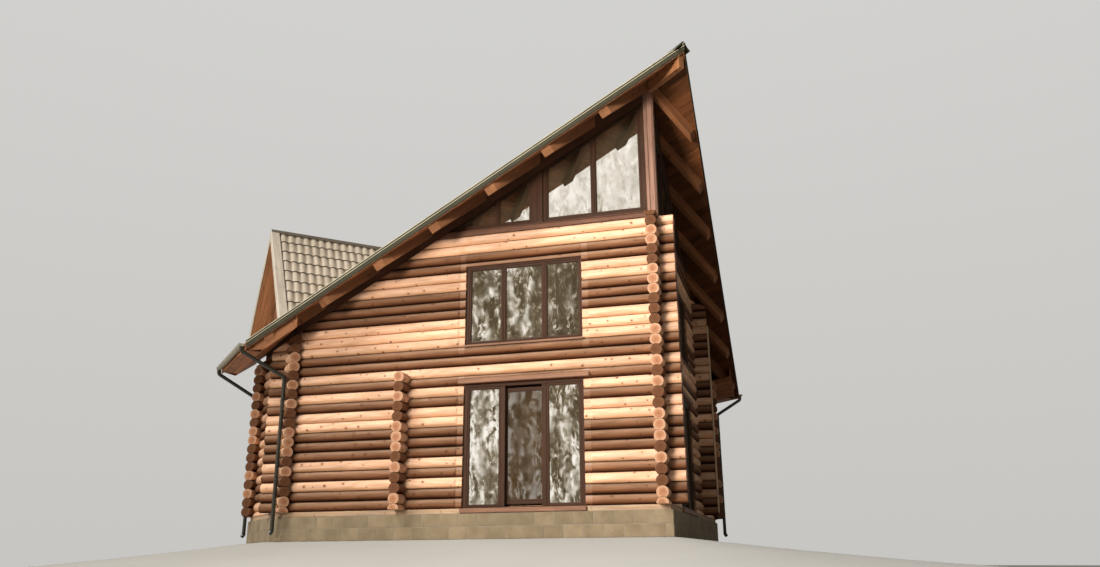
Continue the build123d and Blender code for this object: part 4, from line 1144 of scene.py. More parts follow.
# --------------------------------------------------------------------- roof
DOWN = {}
for side, nm in ((-1, "left"), (1, "right")):
    # boarding: full depth of the deck, each board with a V joint below
    pile = Pile(41 + side)
    nb = 75
    for i in range(nb):
        xa, xb = EAVE_X * i / nb, EAVE_X * (i + 1) / nb
        g, dv = 0.007, 0.006
        pts = [(xa, roof_z(xa, D_COVER)), (xb, roof_z(xb, D_COVER)), (xb, roof_z(xb, D_DECK) + dv), (xb - g, roof_z(xb - g, D_DECK)),
               (xa + g, roof_z(xa + g, D_DECK)), (xa, roof_z(xa, D_DECK) + dv)]
        p0 = [(side * x, -(TIP_Y - x - 0.004), z + Z0) for x, z in pts]
        p1 = [(side * x, (TIP_Y - x - 0.004), z + Z0) for x, z in pts]
        prism(pile, plain, p0, p1, (0, 1, 0), (side * COS, 0, -SIN))
    # the right slope's boards take the darker copy: painted shade
    finish_piece(pile.build("roof_boarding_" + nm, [SOFFIT if side < 0 else SOFFIT_PAINTED_SHADE]), "house", "soffit_boards", "roof_deck_" + nm)

# rafters
pile = Pile(43)
ty = TIP_Y - 0.045 / S
for side in (-1, 1):
    for i in range(-8, 9):
        y = 0.9 * i
        x_low = (RIDGE - D_RAFTER - EAVE_LEVEL) / TAN
        poly = []
        for yy in (y - 0.07, y + 0.07):
            x = min(EAVE_X - 0.045, ty - abs(yy))
            xb = x - 0.2 * SIN
            foot = [(xb, roof_z(xb, D_RAFTER))]
            if xb > x_low:
                # level cut of the foot
                f = (EAVE_LEVEL - roof_z(xb, D_RAFTER)) / (roof_z(x, D_DECK) - roof_z(xb, D_RAFTER))
                foot = [(x_low, EAVE_LEVEL), (xb + f * (x - xb), EAVE_LEVEL)]
            else:
                foot = [(xb - 0.001, roof_z(xb - 0.001, D_RAFTER))] + foot
            poly.append([(side * u, yy, Z0 + v) for u, v in [(0.061, roof_z(0.061, D_RAFTER))] + foot + [(x, roof_z(x, D_DECK) - 0.0005), (0.061, roof_z(0.061, D_DECK) - 0.0005)]])
        # the right slope's rafters take the darker copy: painted shade
        bevel_prism(pile, poly[0], poly[1], (side * COS, 0, -SIN), (0, 1, 0), 0.006, mat=0 if side < 0 else 1)
finish_piece(pile.build("rafter_timbers", [RAFTER, RAFTER_PAINTED_SHADE]), "house", "rafter_timber", "rafters")
dress("head_beams", HEAD)
dress("ridge_beam", RIDGEW)


def tile_sheet(pile, origin, du, dv, dn, u0, u1, v0, v1, planes, pu=0.19, pv=0.38, nu=8):
    """Pressed metal tile: rounded ribs down the slope, a step at each row."""
    cols = []
    k = math.ceil((u1 - u0) / pu)
    for i in range(k * nu + 1):
        u = u0 + pu * i / nu
        ph = (i % nu) / nu
        rib = 0.029 * (0.5 + 0.5 * math.cos(2 * math.pi * (ph - 0.5))) ** 0.8
        cols.append((u, rib))
    rows = []
    v = v0
    while v < v1 - 1e-6:
        e = min(v + pv, v1)
        rows += [(v + (0.0015 if rows else 0.0), 0.0), (v + 0.45 * (e - v), 0.007), (e - 0.003, 0.0155), (e, 0.0145)]
        v = e
    verts, wc = [], []
    o, du, dv, dn = (np.array(t, float) for t in (origin, du, dv, dn))
    for (vv, st) in rows:
        for (uu, rib) in cols:
            n = -0.0388 + rib + st
            verts.append(o + uu * du + vv * dv + n * dn)
            wc.append((uu, vv, n))
    nc, nr = len(cols), len(rows)
    faces = []
    for r in range(nr - 1):
        for c in range(nc - 1):
            i = r * nc + c
            faces.append([i, i + nc, i + nc + 1, i + 1])
    smooth = [True] * len(faces)
    base = len(verts)
    for (uu, vv) in ((cols[0][0], rows[0][0]), (cols[-1][0], rows[0][0]), (cols[-1][0], rows[-1][0]), (cols[0][0], rows[-1][0])):
        verts.append(o + uu * du + vv * dv - 0.040 * dn)
        wc.append((uu, vv, -0.04))
    b0, b1, b2, b3 = base, base + 1, base + 2, base + 3
    faces.append([b0, b1, b2, b3])
    faces.append([b1, b0] + list(range(0, nc)))
    faces.append([b3, b2] + [(nr - 1) * nc + c for c in range(nc - 1, -1, -1)])
    faces.append([b0, b3] + [r * nc for r in range(nr - 1, -1, -1)])
    faces.append([b2, b1] + [r * nc + nc - 1 for r in range(nr)])
    smooth += [False] * 5
    got = cut_arrays(verts, faces, wc, [0.0] * len(faces), smooth, planes, cap_end=0.0)
    verts, faces, wc, endf, smooth = got
    pile.add(verts, faces, wc, endf=endf, smooth=smooth)


def vplane(x, y, nx, ny):
    return (Vector((x, y, 0)), Vector((nx, ny, 0)).normalized())


for side, nm in ((-1, "left"), (1, "right")):
    pile = Pile(45)
    vmax = EAVE_X / COS - 0.01
    planes = [vplane(0, -TIP_Y, side, -1), vplane(0, TIP_Y, side, 1)]
    ue = 0.19 * 46
    tile_sheet(pile, (0, 0, Z0 + RIDGE), (0, 1, 0), (side * COS, 0, -SIN), (side * SIN, 0, COS), -ue, ue, 0.0, vmax, planes)
    finish_piece(pile.build("metal_tiles_" + nm, [TILE], sharp=38.0), "house", "tile_sheet", "roof_covering_" + nm)


def sweep_line(pile, p0, p1, prof, out, up, tone=0.0, smooth=False, cuts=None, fmap=plain, mats=None):
    """Closed profile (list of (out, up)) pushed from p0 to p1."""
    p0, p1 = np.array(p0, float), np.array(p1, float)
    out, up = np.array(out, float), np.array(up, float)
    d = p1 - p0
    ln = np.linalg.norm(d)
    n = len(prof)
    verts = [p + a * out + b * up for p in (p0, p1) for a, b in prof]
    arc = [0.0]
    for i in range(1, n):
        arc.append(arc[-1] + math.hypot(prof[i][0] - prof[i - 1][0], prof[i][1] - prof[i - 1][1]))
    wc = [(arc[i], t * ln, 0.0) for t in (0.0, 1.0) for i in range(n)]
    faces = [[i, (i + 1) % n, n + (i + 1) % n, n + i] for i in range(n)] + [list(reversed(range(n))), list(range(n, 2 * n))]
    # turn the faces if the profile runs the other way round
    area = sum(prof[i][0] * prof[(i + 1) % n][1] - prof[(i + 1) % n][0] * prof[i][1] for i in range(n))
    hand = np.cross(out, up) @ d
    if area * hand < 0:
        faces = [list(reversed(f)) for f in faces]
    endf, sm = [0.0] * len(faces), [smooth] * n + [False, False]
    if mats:
        endf = [float(k) for k in mats] + [0.0, 0.0]
    if cuts:
        got = cut_arrays(verts, faces, wc, endf, sm, cuts, cap_end=0.0)
        if got is None:
            return
        verts, faces, wc, endf, sm = got
    pile.add(fmap(np.array(verts)), faces, wc, endf=[0.0] * len(faces), smooth=sm, mat=[int(round(k)) for k in endf] if mats else 0)


# verge flashing: folded strip with a lip over the tiles; the fold edges are coloured light as a painted highlight and
# the lower lip black as painted shade
VERGE = [(-0.150, 0.012), (-0.146, 0.020), (0.004, 0.028), (0.017, 0.021), (0.018, 0.004), (0.009, -0.003), (0.009, -0.032), (0.019, -0.038),
         (0.0205, -0.052), (0.012, -0.058), (0.012, -0.146), (0.0215, -0.154), (0.0175, -0.170), (0.004, -0.166), (0.004, 0.002)]
# material per face: 0 flashing, 1 painted highlight on the fold edges, 2 painted shade on the lower lip
VMAT = [0, 0, 1, 1, 0, 0, 1, 1, 0, 0, 0, 2, 2, 2, 0]
SLIM = [(-0.150, 0.012), (-0.146, 0.020), (0.004, 0.028), (0.014, 0.021), (0.014, -0.020), (0.006, -0.030), (0.006, -0.060), (0.003, -0.062), (0.003, 0.002)]
for side, nm in ((-1, "left"), (1, "right")):
    pile = Pile(47)
    for my in (-1, 1):
        o = (side * S, my * S, 0)
        # plumb lines stay plumb; height is taken at the verge line
        p0 = (0.0, my * TIP_Y, Z0 + RIDGE)
        p1 = (side * EAVE_X, my * EAVE_Y, Z0 + roof_z(EAVE_X, 0))
        drop_out = TAN * S
        prof = [(a, b - drop_out * a) for a, b in VERGE]
        ext = 0.06
        dirv = (np.array(p1) - np.array(p0)) / np.linalg.norm(np.array(p1) - np.array(p0))
        cuts = [(Vector((0, 0, 0)), Vector((-side, 0, 0))), (Vector((side * (EAVE_X + 0.024), 0, 0)), Vector((side, 0, 0)))]
        if side < 0:
            sweep_line(pile, np.array(p0) - dirv * ext, np.array(p1) + dirv * ext, prof, o, (0, 0, 1), cuts=cuts, mats=VMAT)
        else:
            # short slim length at the top, then a heavier one whose faces below the top are black as painted shade
            split = 1.33
            slim = [(a, b - drop_out * a) for a, b in SLIM]
            sweep_line(pile, np.array(p0) - dirv * ext, np.array(p1) + dirv * ext, slim, o, (0, 0, 1),
                       cuts=[cuts[0], (Vector((split, 0, 0)), Vector((1, 0, 0)))], mats=[1, 1, 1, 1, 0, 0, 0, 0, 0])
            sweep_line(pile, np.array(p0) - dirv * ext, np.array(p1) + dirv * ext, prof, o, (0, 0, 1),
                       cuts=[(Vector((split, 0, 0)), Vector((-1, 0, 0))), cuts[1]], mats=[0, 0, 1, 2, 2, 2, 2, 2, 2, 2, 2, 2, 2, 2, 2])
    finish_piece(pile.build("verge_metal_" + nm, [FLASH, FLASH_PAINTED_HIGHLIGHT, FLASH_PAINTED_SHADE]), "house", "roof_flashing", "verge_flashing_" + nm)


def cap_roll(pile, x0, x1, half, slope_tan, lift, roll, zr, fmap, cuts=None):
    """Ridge cap with a round roll on flat wings, along local x."""
    prof = []
    n = 9
    for i in range(n):
        t = math.pi * i / (n - 1)
        prof.append((-roll * math.cos(t), lift + roll * 0.9 * math.sin(t) - slope_tan * roll * 0.35))
    outer = [(-half, -slope_tan * half + 0.016), (-half * 0.55, -slope_tan * half * 0.55 + 0.020)] + prof + [(half * 0.55, -slope_tan * half * 0.55 + 0.020), (half, -slope_tan * half + 0.016)]
    inner = [(half, -slope_tan * half + 0.002), (roll, -slope_tan * roll + 0.002), (0.0, 0.002), (-roll, -slope_tan * roll + 0.002), (-half, -slope_tan * half + 0.002)]
    sweep_line(pile, fmap((x0, 0, zr)), fmap((x1, 0, zr)), outer + inner, fmap.out, (0, 0, 1), smooth=False, cuts=cuts)


def along_y(p):
    return np.array((p[1], p[0], p[2]), float)


along_y.out = (1, 0, 0)
pile = Pile(48)
seg = 2.0
y = -TIP_Y + 0.002
first = True
while y < TIP_Y - 0.01:
    e = min(y + seg, TIP_Y - 0.002)
    if TIP_Y - e < 0.4:
        e = TIP_Y - 0.002
    cap_roll(pile, y, e, 0.165, TAN, 0.030, 0.048, Z0 + RIDGE, along_y)
    # overlap band at each joint
    if not first:
        cap_roll(pile, y - 0.03, y + 0.03, 0.168, TAN, 0.033, 0.051, Z0 + RIDGE + 0.003, along_y)
    first = False
    y = e
finish_piece(pile.build("ridge_cap_metal", [FLASH]), "house", "roof_flashing", "ridge_cap")

# eave fascias
pile = Pile(49)
for side in (-1, 1):
    x0, x1 = side * EAVE_X, side * (EAVE_X + 0.028)
    zb, zt = Z0 + roof_z(EAVE_X, D_DECK) - 0.02, Z0 + roof_z(EAVE_X, D_COVER) + 0.005
    block(pile, plain, min(x0, x1), max(x0, x1), -EAVE_Y, EAVE_Y, zb, zt, bevel=0.004, grain=1)
    # boards that close the eave below the rafters, level at the very edge
    eb = D_RAFTER + 0.022 / COS
    xt = (RIDGE - D_RAFTER - EAVE_LEVEL) / TAN
    xu = (RIDGE - eb - EAVE_LEVEL + 0.02) / TAN
    xa, n = HALF_W + 0.15, 5
    for k in range(n):
        f0, f1 = k / n, (k + 1) / n
        top = [xa + (xt - xa) * f0 + 0.002, xa + (xt - xa) * f1 - 0.002]
        low = [xa + (xu - xa) * f0 + 0.002, xa + (xu - xa) * f1 - 0.002]
        cor = []
        for sy in (-1, 1):
            row = []
            for e in (0, 1):
                lim = TIP_Y - 0.12 / S
                row.append([(side * low[e], sy * (lim - low[e]), Z0 + roof_z(low[e], eb)), (side * top[e], sy * (lim - top[e]), Z0 + roof_z(top[e], D_RAFTER) - 0.0005)])
            cor.append(row)
        hexa(pile, plain, cor, bevel=0.004, grain=0)
    for k in range(3):
        u0, u1 = xu + (EAVE_X - xu) * k / 3 + 0.002, xu + (EAVE_X - xu) * (k + 1) / 3 - 0.002
        block(pile, plain, min(side * u0, side * u1), max(side * u0, side * u1), -1.36, 1.36, Z0 + EAVE_LEVEL - 0.02, Z0 + EAVE_LEVEL - 0.001, bevel=0.004, grain=1)
    # boards that close the ends of the eave between the rafters
    for my in (-1, 1):
        for (xs, xe) in ((xa, xu), (xu, EAVE_X - 0.002)):
            cor = []
            for xx in (xs, xe):
                zlow = roof_z(xx, eb) if xx <= xu + 1e-6 else EAVE_LEVEL - 0.02
                row = []
                for ins in (0.135, 0.112):
                    yy = my * (TIP_Y - ins / S - xx)
                    row.append([(side * xx, yy, Z0 + zlow + 0.001), (side * xx, yy, Z0 + roof_z(xx, D_DECK) - 0.0005)])
                cor.append(row)
            hexa(pile, plain, cor, bevel=0.003, grain=0, mat=1)
finish_piece(pile.build("fascia_boards", [SOFFIT, RAFTER]), "house", "rafter_timber", "eave_fascias")

# gutters with bead, ends and brackets
pile = Pile(50)
GUT_R = 0.066
for side in (-1, 1):
    gx = side * (EAVE_X + 0.028 + GUT_R + 0.002)
    gz = Z0 + roof_z(EAVE_X, D_COVER) - 0.035
    n = 18
    outer = [(-GUT_R * math.cos(math.pi * i / n), -GUT_R * math.sin(math.pi * i / n)) for i in range(n + 1)]
    inner = [((GUT_R - 0.003) * math.cos(math.pi * i / n), -(GUT_R - 0.003) * math.sin(math.pi * i / n)) for i in range(n + 1)]
    sweep_line(pile, (gx, -EAVE_Y, gz), (gx, EAVE_Y, gz), outer + inner, (1, 0, 0), (0, 0, 1), smooth=True)
    # rolled front edge
    bx = gx + side * (GUT_R - 0.002)
    bead = [(0.008 * math.cos(2 * math.pi * i / 10), 0.008 * math.sin(2 * math.pi * i / 10)) for i in range(10)]
    sweep_line(pile, (bx, -EAVE_Y, gz + 0.002), (bx, EAVE_Y, gz + 0.002), bead, (1, 0, 0), (0, 0, 1), smooth=True)
    for my in (-1, 1):
        half = [(-(GUT_R - 0.001) * math.cos(math.pi * i / n), -(GUT_R - 0.001) * math.sin(math.pi * i / n)) for i in range(n + 1)]
        sweep_line(pile, (gx, my * (EAVE_Y - 0.004), gz), (gx, my * EAVE_Y, gz), half, (1, 0, 0), (0, 0, 1))
    k = 5
    for i in range(k):
        yb = -EAVE_Y + 0.25 + (2 * EAVE_Y - 0.5) * i / (k - 1)
        ro = GUT_R + 0.004
        outr = [(-ro * math.cos(math.pi * j / n), -ro * math.sin(math.pi * j / n)) for j in range(n + 1)]
        innr = [(GUT_R * math.cos(math.pi * j / n), -GUT_R * math.sin(math.pi * j / n)) for j in range(n + 1)]
        sweep_line(pile, (gx, yb - 0.012, gz), (gx, yb + 0.012, gz), outr + innr, (1, 0, 0), (0, 0, 1))
        block(pile, plain, min(gx - side * GUT_R, gx + side * GUT_R), max(gx - side * GUT_R, gx + side * GUT_R), yb - 0.012, yb + 0.012, gz + 0.0005, gz + 0.004, bevel=0.001)
finish_piece(pile.build("gutter_metal", [GUTTER]), "house", "rainwater_metal", "gutters")


def tube(pile, pts, r, n=16, caps=True, r1=None):
    """Round pipe along a list of points, section turned with the path."""
    pts = [np.array(p, float) for p in pts]
    m = len(pts)
    tang = []
    for i in range(m):
        a, b = pts[max(i - 1, 0)], pts[min(i + 1, m - 1)]
        tang.append((b - a) / np.linalg.norm(b - a))
    ref = np.array((0.0, 1.0, 0.0)) if abs(tang[0][1]) < 0.9 else np.array((1.0, 0.0, 0.0))
    verts, wc = [], []
    ln = 0.0
    for i in range(m):
        if i:
            ln += np.linalg.norm(pts[i] - pts[i - 1])
        t = tang[i]
        ref = ref - (ref @ t) * t
        ref /= np.linalg.norm(ref)
        s = np.cross(t, ref)
        for j in range(n):
            a = 2 * math.pi * j / n
            verts.append(pts[i] + r * (math.cos(a) * ref + math.sin(a) * s))
            wc.append((r * a, ln, 0.0))
    faces = []
    for i in range(m - 1):
        for j in range(n):
            k = (j + 1) % n
            faces.append([i * n + j, i * n + k, (i + 1) * n + k, (i + 1) * n + j])
    sm = [True] * len(faces)
    faces += [list(reversed(range(n))), list(range((m - 1) * n, m * n))]
    sm += [False, False]
    pile.add(verts, faces, wc, endf=[0.0] * len(faces), smooth=sm)


def bent(points, radius, n=7):
    """Straight runs joined by short arcs, as in elbow fittings."""
    out = [np.array(points[0], float)]
    for a, b, c in zip(points[:-2], points[1:-1], points[2:]):
        a, b, c = (np.array(t, float) for t in (a, b, c))
        u, v = (a - b) / np.linalg.norm(a - b), (c - b) / np.linalg.norm(c - b)
        ang = math.acos(max(-1, min(1, u @ v)))
        d = min(radius / math.tan(ang / 2), 0.45 * np.linalg.norm(a - b), 0.45 * np.linalg.norm(c - b))
        p, q = b + u * d, b + v * d
        for i in range(n):
            t = i / (n - 1)
            out.append((1 - t) ** 2 * p + 2 * t * (1 - t) * b + t * t * q)
    out.append(np.array(points[-1], float))
    return out


pile = Pile(51)
PIPE_R = 0.043
gx = EAVE_X + 0.028 + GUT_R + 0.002
gz = Z0 + roof_z(EAVE_X, D_COVER) - 0.035
px = HALF_W + LOG_R + PIPE_R + 0.012
for side in (-1, 1):
    for my in (-1, 1):
        pts = [(side * gx, my * (EAVE_Y - 0.06), gz - GUT_R + 0.012), (side * gx, my * (EAVE_Y - 0.06), gz - GUT_R - 0.09),
               (side * px, my * (CHAMFER / 2 + 0.33), Z0 + 2.9), (side * px, my * (CHAMFER / 2 + 0.33), 0.22)]
        path = bent(pts, 0.11)
        tube(pile, path, PIPE_R)
        # shoe that throws the water out, sleeves and outlet
        foot = [(side * px, my * (CHAMFER / 2 + 0.33), 0.26), (side * px, my * (CHAMFER / 2 + 0.33), 0.20), (side * (px + 0.05), my * (CHAMFER / 2 + 0.33), 0.155)]
        tube(pile, bent(foot, 0.06), PIPE_R + 0.003)
        tube(pile, [(side * gx, my * (EAVE_Y - 0.06), gz - GUT_R + 0.004), (side * gx, my * (EAVE_Y - 0.06), gz - GUT_R - 0.07)], PIPE_R + 0.006)
        for zz in (0.75, 1.75, 2.75, Z0 + 2.78):
            x, y = side * px, my * (CHAMFER / 2 + 0.33)
            tube(pile, [(x, y, zz - 0.014), (x, y, zz + 0.014)], PIPE_R + 0.005, n=20)
            block(pile, plain, min(x, x - side * 0.10), max(x, x - side * 0.10), y - 0.008, y + 0.008, zz - 0.010, zz + 0.010, bevel=0.002)
        for zz in (Z0 + 0.95, Z0 + 2.35):
            tube(pile, [(side * px, my * (CHAMFER / 2 + 0.33), zz), (side * px, my * (CHAMFER / 2 + 0.33), zz + 0.06)], PIPE_R + 0.0035, n=20)
finish_piece(pile.build("downpipe_metal", [RAIN], sharp=40.0), "house", "rainwater_metal", "downpipes")

# ------------------------------------------------------------- cross gables
MAIN_TOP = {side: (Vector((0, 0, Z0 + RIDGE)), Vector((-side * TAN, 0, -1)).normalized()) for side in (-1, 1)}
pile_t, pile_d, pile_w, pile_v, pile_c = Pile(61), Pile(62), Pile(63), Pile(64), Pile(65)
for side in (-1, 1):
    below = MAIN_TOP[side]
    for my in (-1, 1):
        # tiles: u runs from the face inward, v down the slope
        u0 = 0.0
        tile_sheet(pile_t, (side * (DORM_FACE - 0.19), 0, Z0 + DORM_RIDGE), (-side, 0, 0), (0, my * DCOS, -DSIN), (0, my * DSIN, DCOS),
                   u0, 3.8, 0.0, 5.2, [below])
        # boarding of the overhang and under the tiles, boards run down the slope
        x = DORM_FACE
        i = 0
        while x > 2.75:
            xn = max(x - 0.118, 2.7)
            g = 0.005
            v1 = 5.2
            def at(xx, v, n, my=my, side=side):
                return (side * xx, my * (v * DCOS + n * DSIN), Z0 + DORM_RIDGE - v * DSIN + n * DCOS)
            t = -0.04
            b = -0.135
            sec = [(x, t), (xn, t), (xn, b + g), (xn + g, b), (x - g, b), (x, b + g)]
            def vv(n):
                return -n * DSIN / DCOS
            verts = [at(xx, vv(nn) + 0.0005, nn) for xx, nn in sec] + [at(xx, v1, nn) for xx, nn in sec]
            n = len(sec)
            faces = [[j, (j + 1) % n, n + (j + 1) % n, n + j] for j in range(n)] + [list(range(n)), list(range(n, 2 * n))]
            faces = outward(np.array(verts), faces)
            ph = pile_d.rand.uniform(-0.04, 0.04)
            wc = [(v, xx - x + ph, nn + 0.2) for v, lst in ((0.0, sec), (v1, sec)) for xx, nn in lst]
            got = cut_arrays(verts, faces, wc, [0.0] * n + [1.0, 1.0], [False] * (n + 2), [below])
            if got:
                verts, faces, wc, endf, sm = got
                pile_d.add(verts, faces, wc, endf=endf, smooth=sm)
            x = xn
            i += 1
        # verge trim: flat strip on the slope and a folded face
        prof = [(-0.185, -0.0385), (-0.185, 0.004), (-0.176, 0.010), (-0.02, 0.014), (0.012, 0.016), (0.020, 0.008), (0.020, -0.138), (0.012, -0.146), (0.002, -0.146), (0.002, -0.0385)]
        p0 = (side * DORM_FACE, 0, Z0 + DORM_RIDGE)
        dvv = np.array((0, my * DCOS, -DSIN))
        sweep_line(pile_v, np.array(p0) - dvv * 0.3, np.array(p0) + dvv * 5.2, prof, (side, 0, 0), (0, my * DSIN, DCOS),
                   cuts=[below, (Vector((0, 0, 0)), Vector((0, -my, 0)))])
    # boarded gable, upright boards
    gx0, gx1 = HALF_W - 0.05, HALF_W + 0.05
    w = 0.13
    nbd = 14
    for j in range(-nbd, nbd):
        y0, y1 = j * w, (j + 1) * w
        def top(yy):
            return Z0 + DORM_RIDGE - DD_DECK - DORM_TAN * abs(yy) - 0.001
        zb = Z0 + roof_z(HALF_W, 0) - 0.2
        if min(top(y0), top(y1)) < zb + 0.05 and max(top(y0), top(y1)) < zb + 0.1:
            continue
        g = 0.006
        sec = [(gx0, y0), (gx0, y1), (gx1 - g, y1), (gx1, y1 - g), (gx1, y0 + g), (gx1 - g, y0)]
        verts = [(side * xx, yy, zb) for xx, yy in sec] + [(side * xx, yy, top(yy)) for xx, yy in sec]
        n = len(sec)
        faces = outward(np.array(verts), [[q, (q + 1) % n, n + (q + 1) % n, n + q] for q in range(n)] + [list(range(n)), list(range(n, 2 * n))])
        ph = pile_w.rand.uniform(-0.04, 0.04)
        wc = [(v[2], v[1] - y0 + ph, abs(v[0]) - gx0 + 0.1) for v in verts]
        got = cut_arrays(verts, faces, wc, [0.0] * n + [1.0, 1.0], [False] * (n + 2), [below])
        if got:
            verts, faces, wc, endf, sm = got
            pile_w.add(verts, faces, wc, endf=endf, smooth=sm)
    # ridge cap
    def along_x(p, side=side):
        return np.array((side * p[0], p[1], p[2]), float)
    along_x.out = (0, 1, 0)
    cap_roll(pile_c, 3.0, DORM_FACE + 0.012, 0.056, DORM_TAN, 0.014, 0.016, Z0 + DORM_RIDGE + 0.010, along_x, cuts=[below])
finish_piece(pile_t.build("cross_gable_tiles", [TILE], sharp=38.0), "house", "tile_sheet", "cross_gable_coverings")
finish_piece(pile_d.build("cross_gable_boarding", [GSOFFIT]), "house", "soffit_boards", "cross_gable_decks")
finish_piece(pile_w.build("cross_gable_boards", [GABLE]), "house", "gable_boards", "cross_gable_walls")
finish_piece(pile_v.build("cross_gable_trim", [TRIM]), "house", "verge_trim", "cross_gable_verges")
finish_piece(pile_c.build("cross_gable_ridges", [DARKMETAL]), "house", "ridge_cap_dark", "cross_gable_caps")


# ------------------------------------------------------ base, plinth, floors
def corner_runs():
    """Each straight stretch of the outline: its map and its end values."""
    k = math.tan(math.radians(22.5))
    runs = [(fm, 0.0, FACET, -1.0, k) for _, fm, _ in WALLS]
    runs += [(chamfer_map(s), -CHAMFER / 2, CHAMFER / 2, -k, k) for s in (1, -1)]
    return runs


pile = Pile(71)
for fm, a0, a1, k0, k1 in corner_runs():
    hexa(pile, fm, [[[(a0 + k0 * w, w, -BASE_H), (a0 + k0 * w, w, -0.0005)] for w in (-0.105, 0.105)],
                    [[(a1 + k1 * w, w, -BASE_H), (a1 + k1 * w, w, -0.0005)] for w in (-0.105, 0.105)]], bevel=0.008, grain=0)
finish_piece(pile.build("base_beams", [BASE]), "house", "base_timber", "base_timber")

pile = Pile(72)
ROWS_B = 2
bh = PLINTH_H / ROWS_B
for fm, a0, a1, k0, k1 in corner_runs():
    # mortar core, set back from the block faces
    w0, w1 = -0.15, 0.144
    hexa(pile, fm, [[[(a0 + k0 * w, w, -Z0), (a0 + k0 * w, w, -BASE_H - 0.001)] for w in (w0, w1)],
                    [[(a1 + k1 * w, w, -Z0), (a1 + k1 * w, w, -BASE_H - 0.001)] for w in (w0, w1)]], bevel=0.001, grain=0, mat=1)
    for row in range(ROWS_B):
        z0, z1 = -Z0 + row * bh + 0.004, -Z0 + (row + 1) * bh - 0.006
        wf = 0.15
        e0, e1 = a0 + k0 * wf, a1 + k1 * wf
        cuts = [e0]
        x = math.ceil((e0 + 0.12) / 0.4) * 0.4 + (0.2 if row % 2 else 0.0)
        while x < e1 - 0.12:
            cuts.append(x)
            x += 0.4
        cuts.append(e1)
        for i, (c0, c1) in enumerate(zip(cuts[:-1], cuts[1:])):
            g0 = 0.0 if i == 0 else 0.005
            g1 = 0.0 if i == len(cuts) - 2 else 0.005
            dw = pile.rand.uniform(-0.0025, 0.0)
            s0 = k0 if i == 0 else 0.0
            s1 = k1 if i == len(cuts) - 2 else 0.0
            wi, wo = 0.10, wf + dw
            hexa(pile, fm, [[[(c0 + g0 + s0 * (w - wf), w, z) for z in (z0, z1)] for w in (wi, wo)],
                            [[(c1 - g1 + s1 * (w - wf), w, z) for z in (z0, z1)] for w in (wi, wo)]], bevel=0.004, grain=0)
finish_piece(pile.build("plinth_blockwork", [BLOCK, MORTAR]), "house", "blockwork", "plinth")
dress("ground_floor", FLOORW)
dress("upper_floor", FLOORW)


# -------------------------------------------------------------------- stage
def studio():
    me = bpy.data.meshes.new("studio_floor")
    n = 120
    ext = 60.0
    g = np.concatenate([-np.geomspace(ext, 0.3, n // 2), np.geomspace(0.3, ext, n // 2)])
    hexpts = [(0, -PROW_Y), (HALF_W, -CHAMFER / 2), (HALF_W, CHAMFER / 2), (0, PROW_Y), (-HALF_W, CHAMFER / 2), (-HALF_W, -CHAMFER / 2)]

    def dist(x, y):
        """Distance outside the plan outline, 0 inside."""
        best = -1e9
        for i in range(6):
            p, q = np.array(hexpts[i]), np.array(hexpts[(i + 1) % 6])
            t = (q - p) / np.linalg.norm(q - p)
            nr = np.array([t[1], -t[0]])
            best = max(best, (np.array([x, y]) - p) @ nr)
        if best <= 0:
            return 0.0
        d = 1e9
        for i in range(6):
            p, q = np.array(hexpts[i]), np.array(hexpts[(i + 1) % 6])
            t = max(0.0, min(1.0, ((np.array([x, y]) - p) @ (q - p)) / ((q - p) @ (q - p))))
            d = min(d, np.linalg.norm(np.array([x, y]) - p - t * (q - p)))
        return d

    rad = [0.0] + np.linspace(1.0, 11.0, 70).tolist() + np.geomspace(11.3, 70.0, 28).tolist()
    na = 144
    verts = [(0.0, 0.0, -0.002)]
    faces = []
    for r in rad[1:]:
        for j in range(na):
            a = 2 * math.pi * j / na
            x, y = r * math.cos(a), r * math.sin(a)
            d = max(0.0, dist(x, y) - 0.2)
            z = -0.002 - 1.5 * (1 - math.exp(-d * 0.085))
            verts.append((x, y, z))
    for j in range(na):
        faces.append((0, 1 + j, 1 + (j + 1) % na))
    for i in range(len(rad) - 2):
        for j in range(na):
            k = (j + 1) % na
            faces.append((1 + i * na + j, 1 + (i + 1) * na + j, 1 + (i + 1) * na + k, 1 + i * na + k))
    me.from_pydata(verts, [], faces)
    me.polygons.foreach_set("use_smooth", [True] * len(faces))
    ob = bpy.data.objects.new("studio_floor", me)
    bpy.context.scene.collection.objects.link(ob)
    m = Mat("studio_floor_paint")
    p = m.node("TexCoord").outputs["Object"]
    f = m.noise(p, 0.35, 3.0)
    me.materials.append(m.set(Base_Color=m.mix(m.rng(f, 0.3, 0.7), (0.365, 0.365, 0.35), (0.395, 0.395, 0.38)), Roughness=0.85))


studio()

world = bpy.data.worlds.new("studio_light")
bpy.context.scene.world = world
world.use_nodes = True
wt = world.node_tree
wt.nodes.clear()


def wnode(kind, **props):
    n = wt.nodes.new("ShaderNode" + kind)
    for k, v in props.items():
        setattr(n, k, v)
    return n


wo = wnode("OutputWorld")
bg = wnode("Background")
tc = wnode("TexCoord")
rp = wnode("ValToRGB")
sp = wnode("SeparateXYZ")
wt.links.new(tc.outputs["Generated"], sp.inputs[0])
mr = wnode("MapRange")
mr.inputs["From Min"].default_value = -1.0
mr.inputs["From Max"].default_value = 1.0
wt.links.new(sp.outputs[2], mr.inputs["Value"])
wt.links.new(mr.outputs[0], rp.inputs[0])
cr = rp.color_ramp
cr.elements[0].position = 0.0
cr.elements[0].color = (0.20, 0.18, 0.15, 1)
cr.elements[1].position = 1.0
cr.elements[1].color = (0.80, 0.765, 0.71, 1)
for pos, col in ((0.49, (0.44, 0.415, 0.37, 1)), (0.55, (0.50, 0.475, 0.425, 1)), (0.70, (0.60, 0.57, 0.52, 1))):
    e = cr.elements.new(pos)
    e.color = col
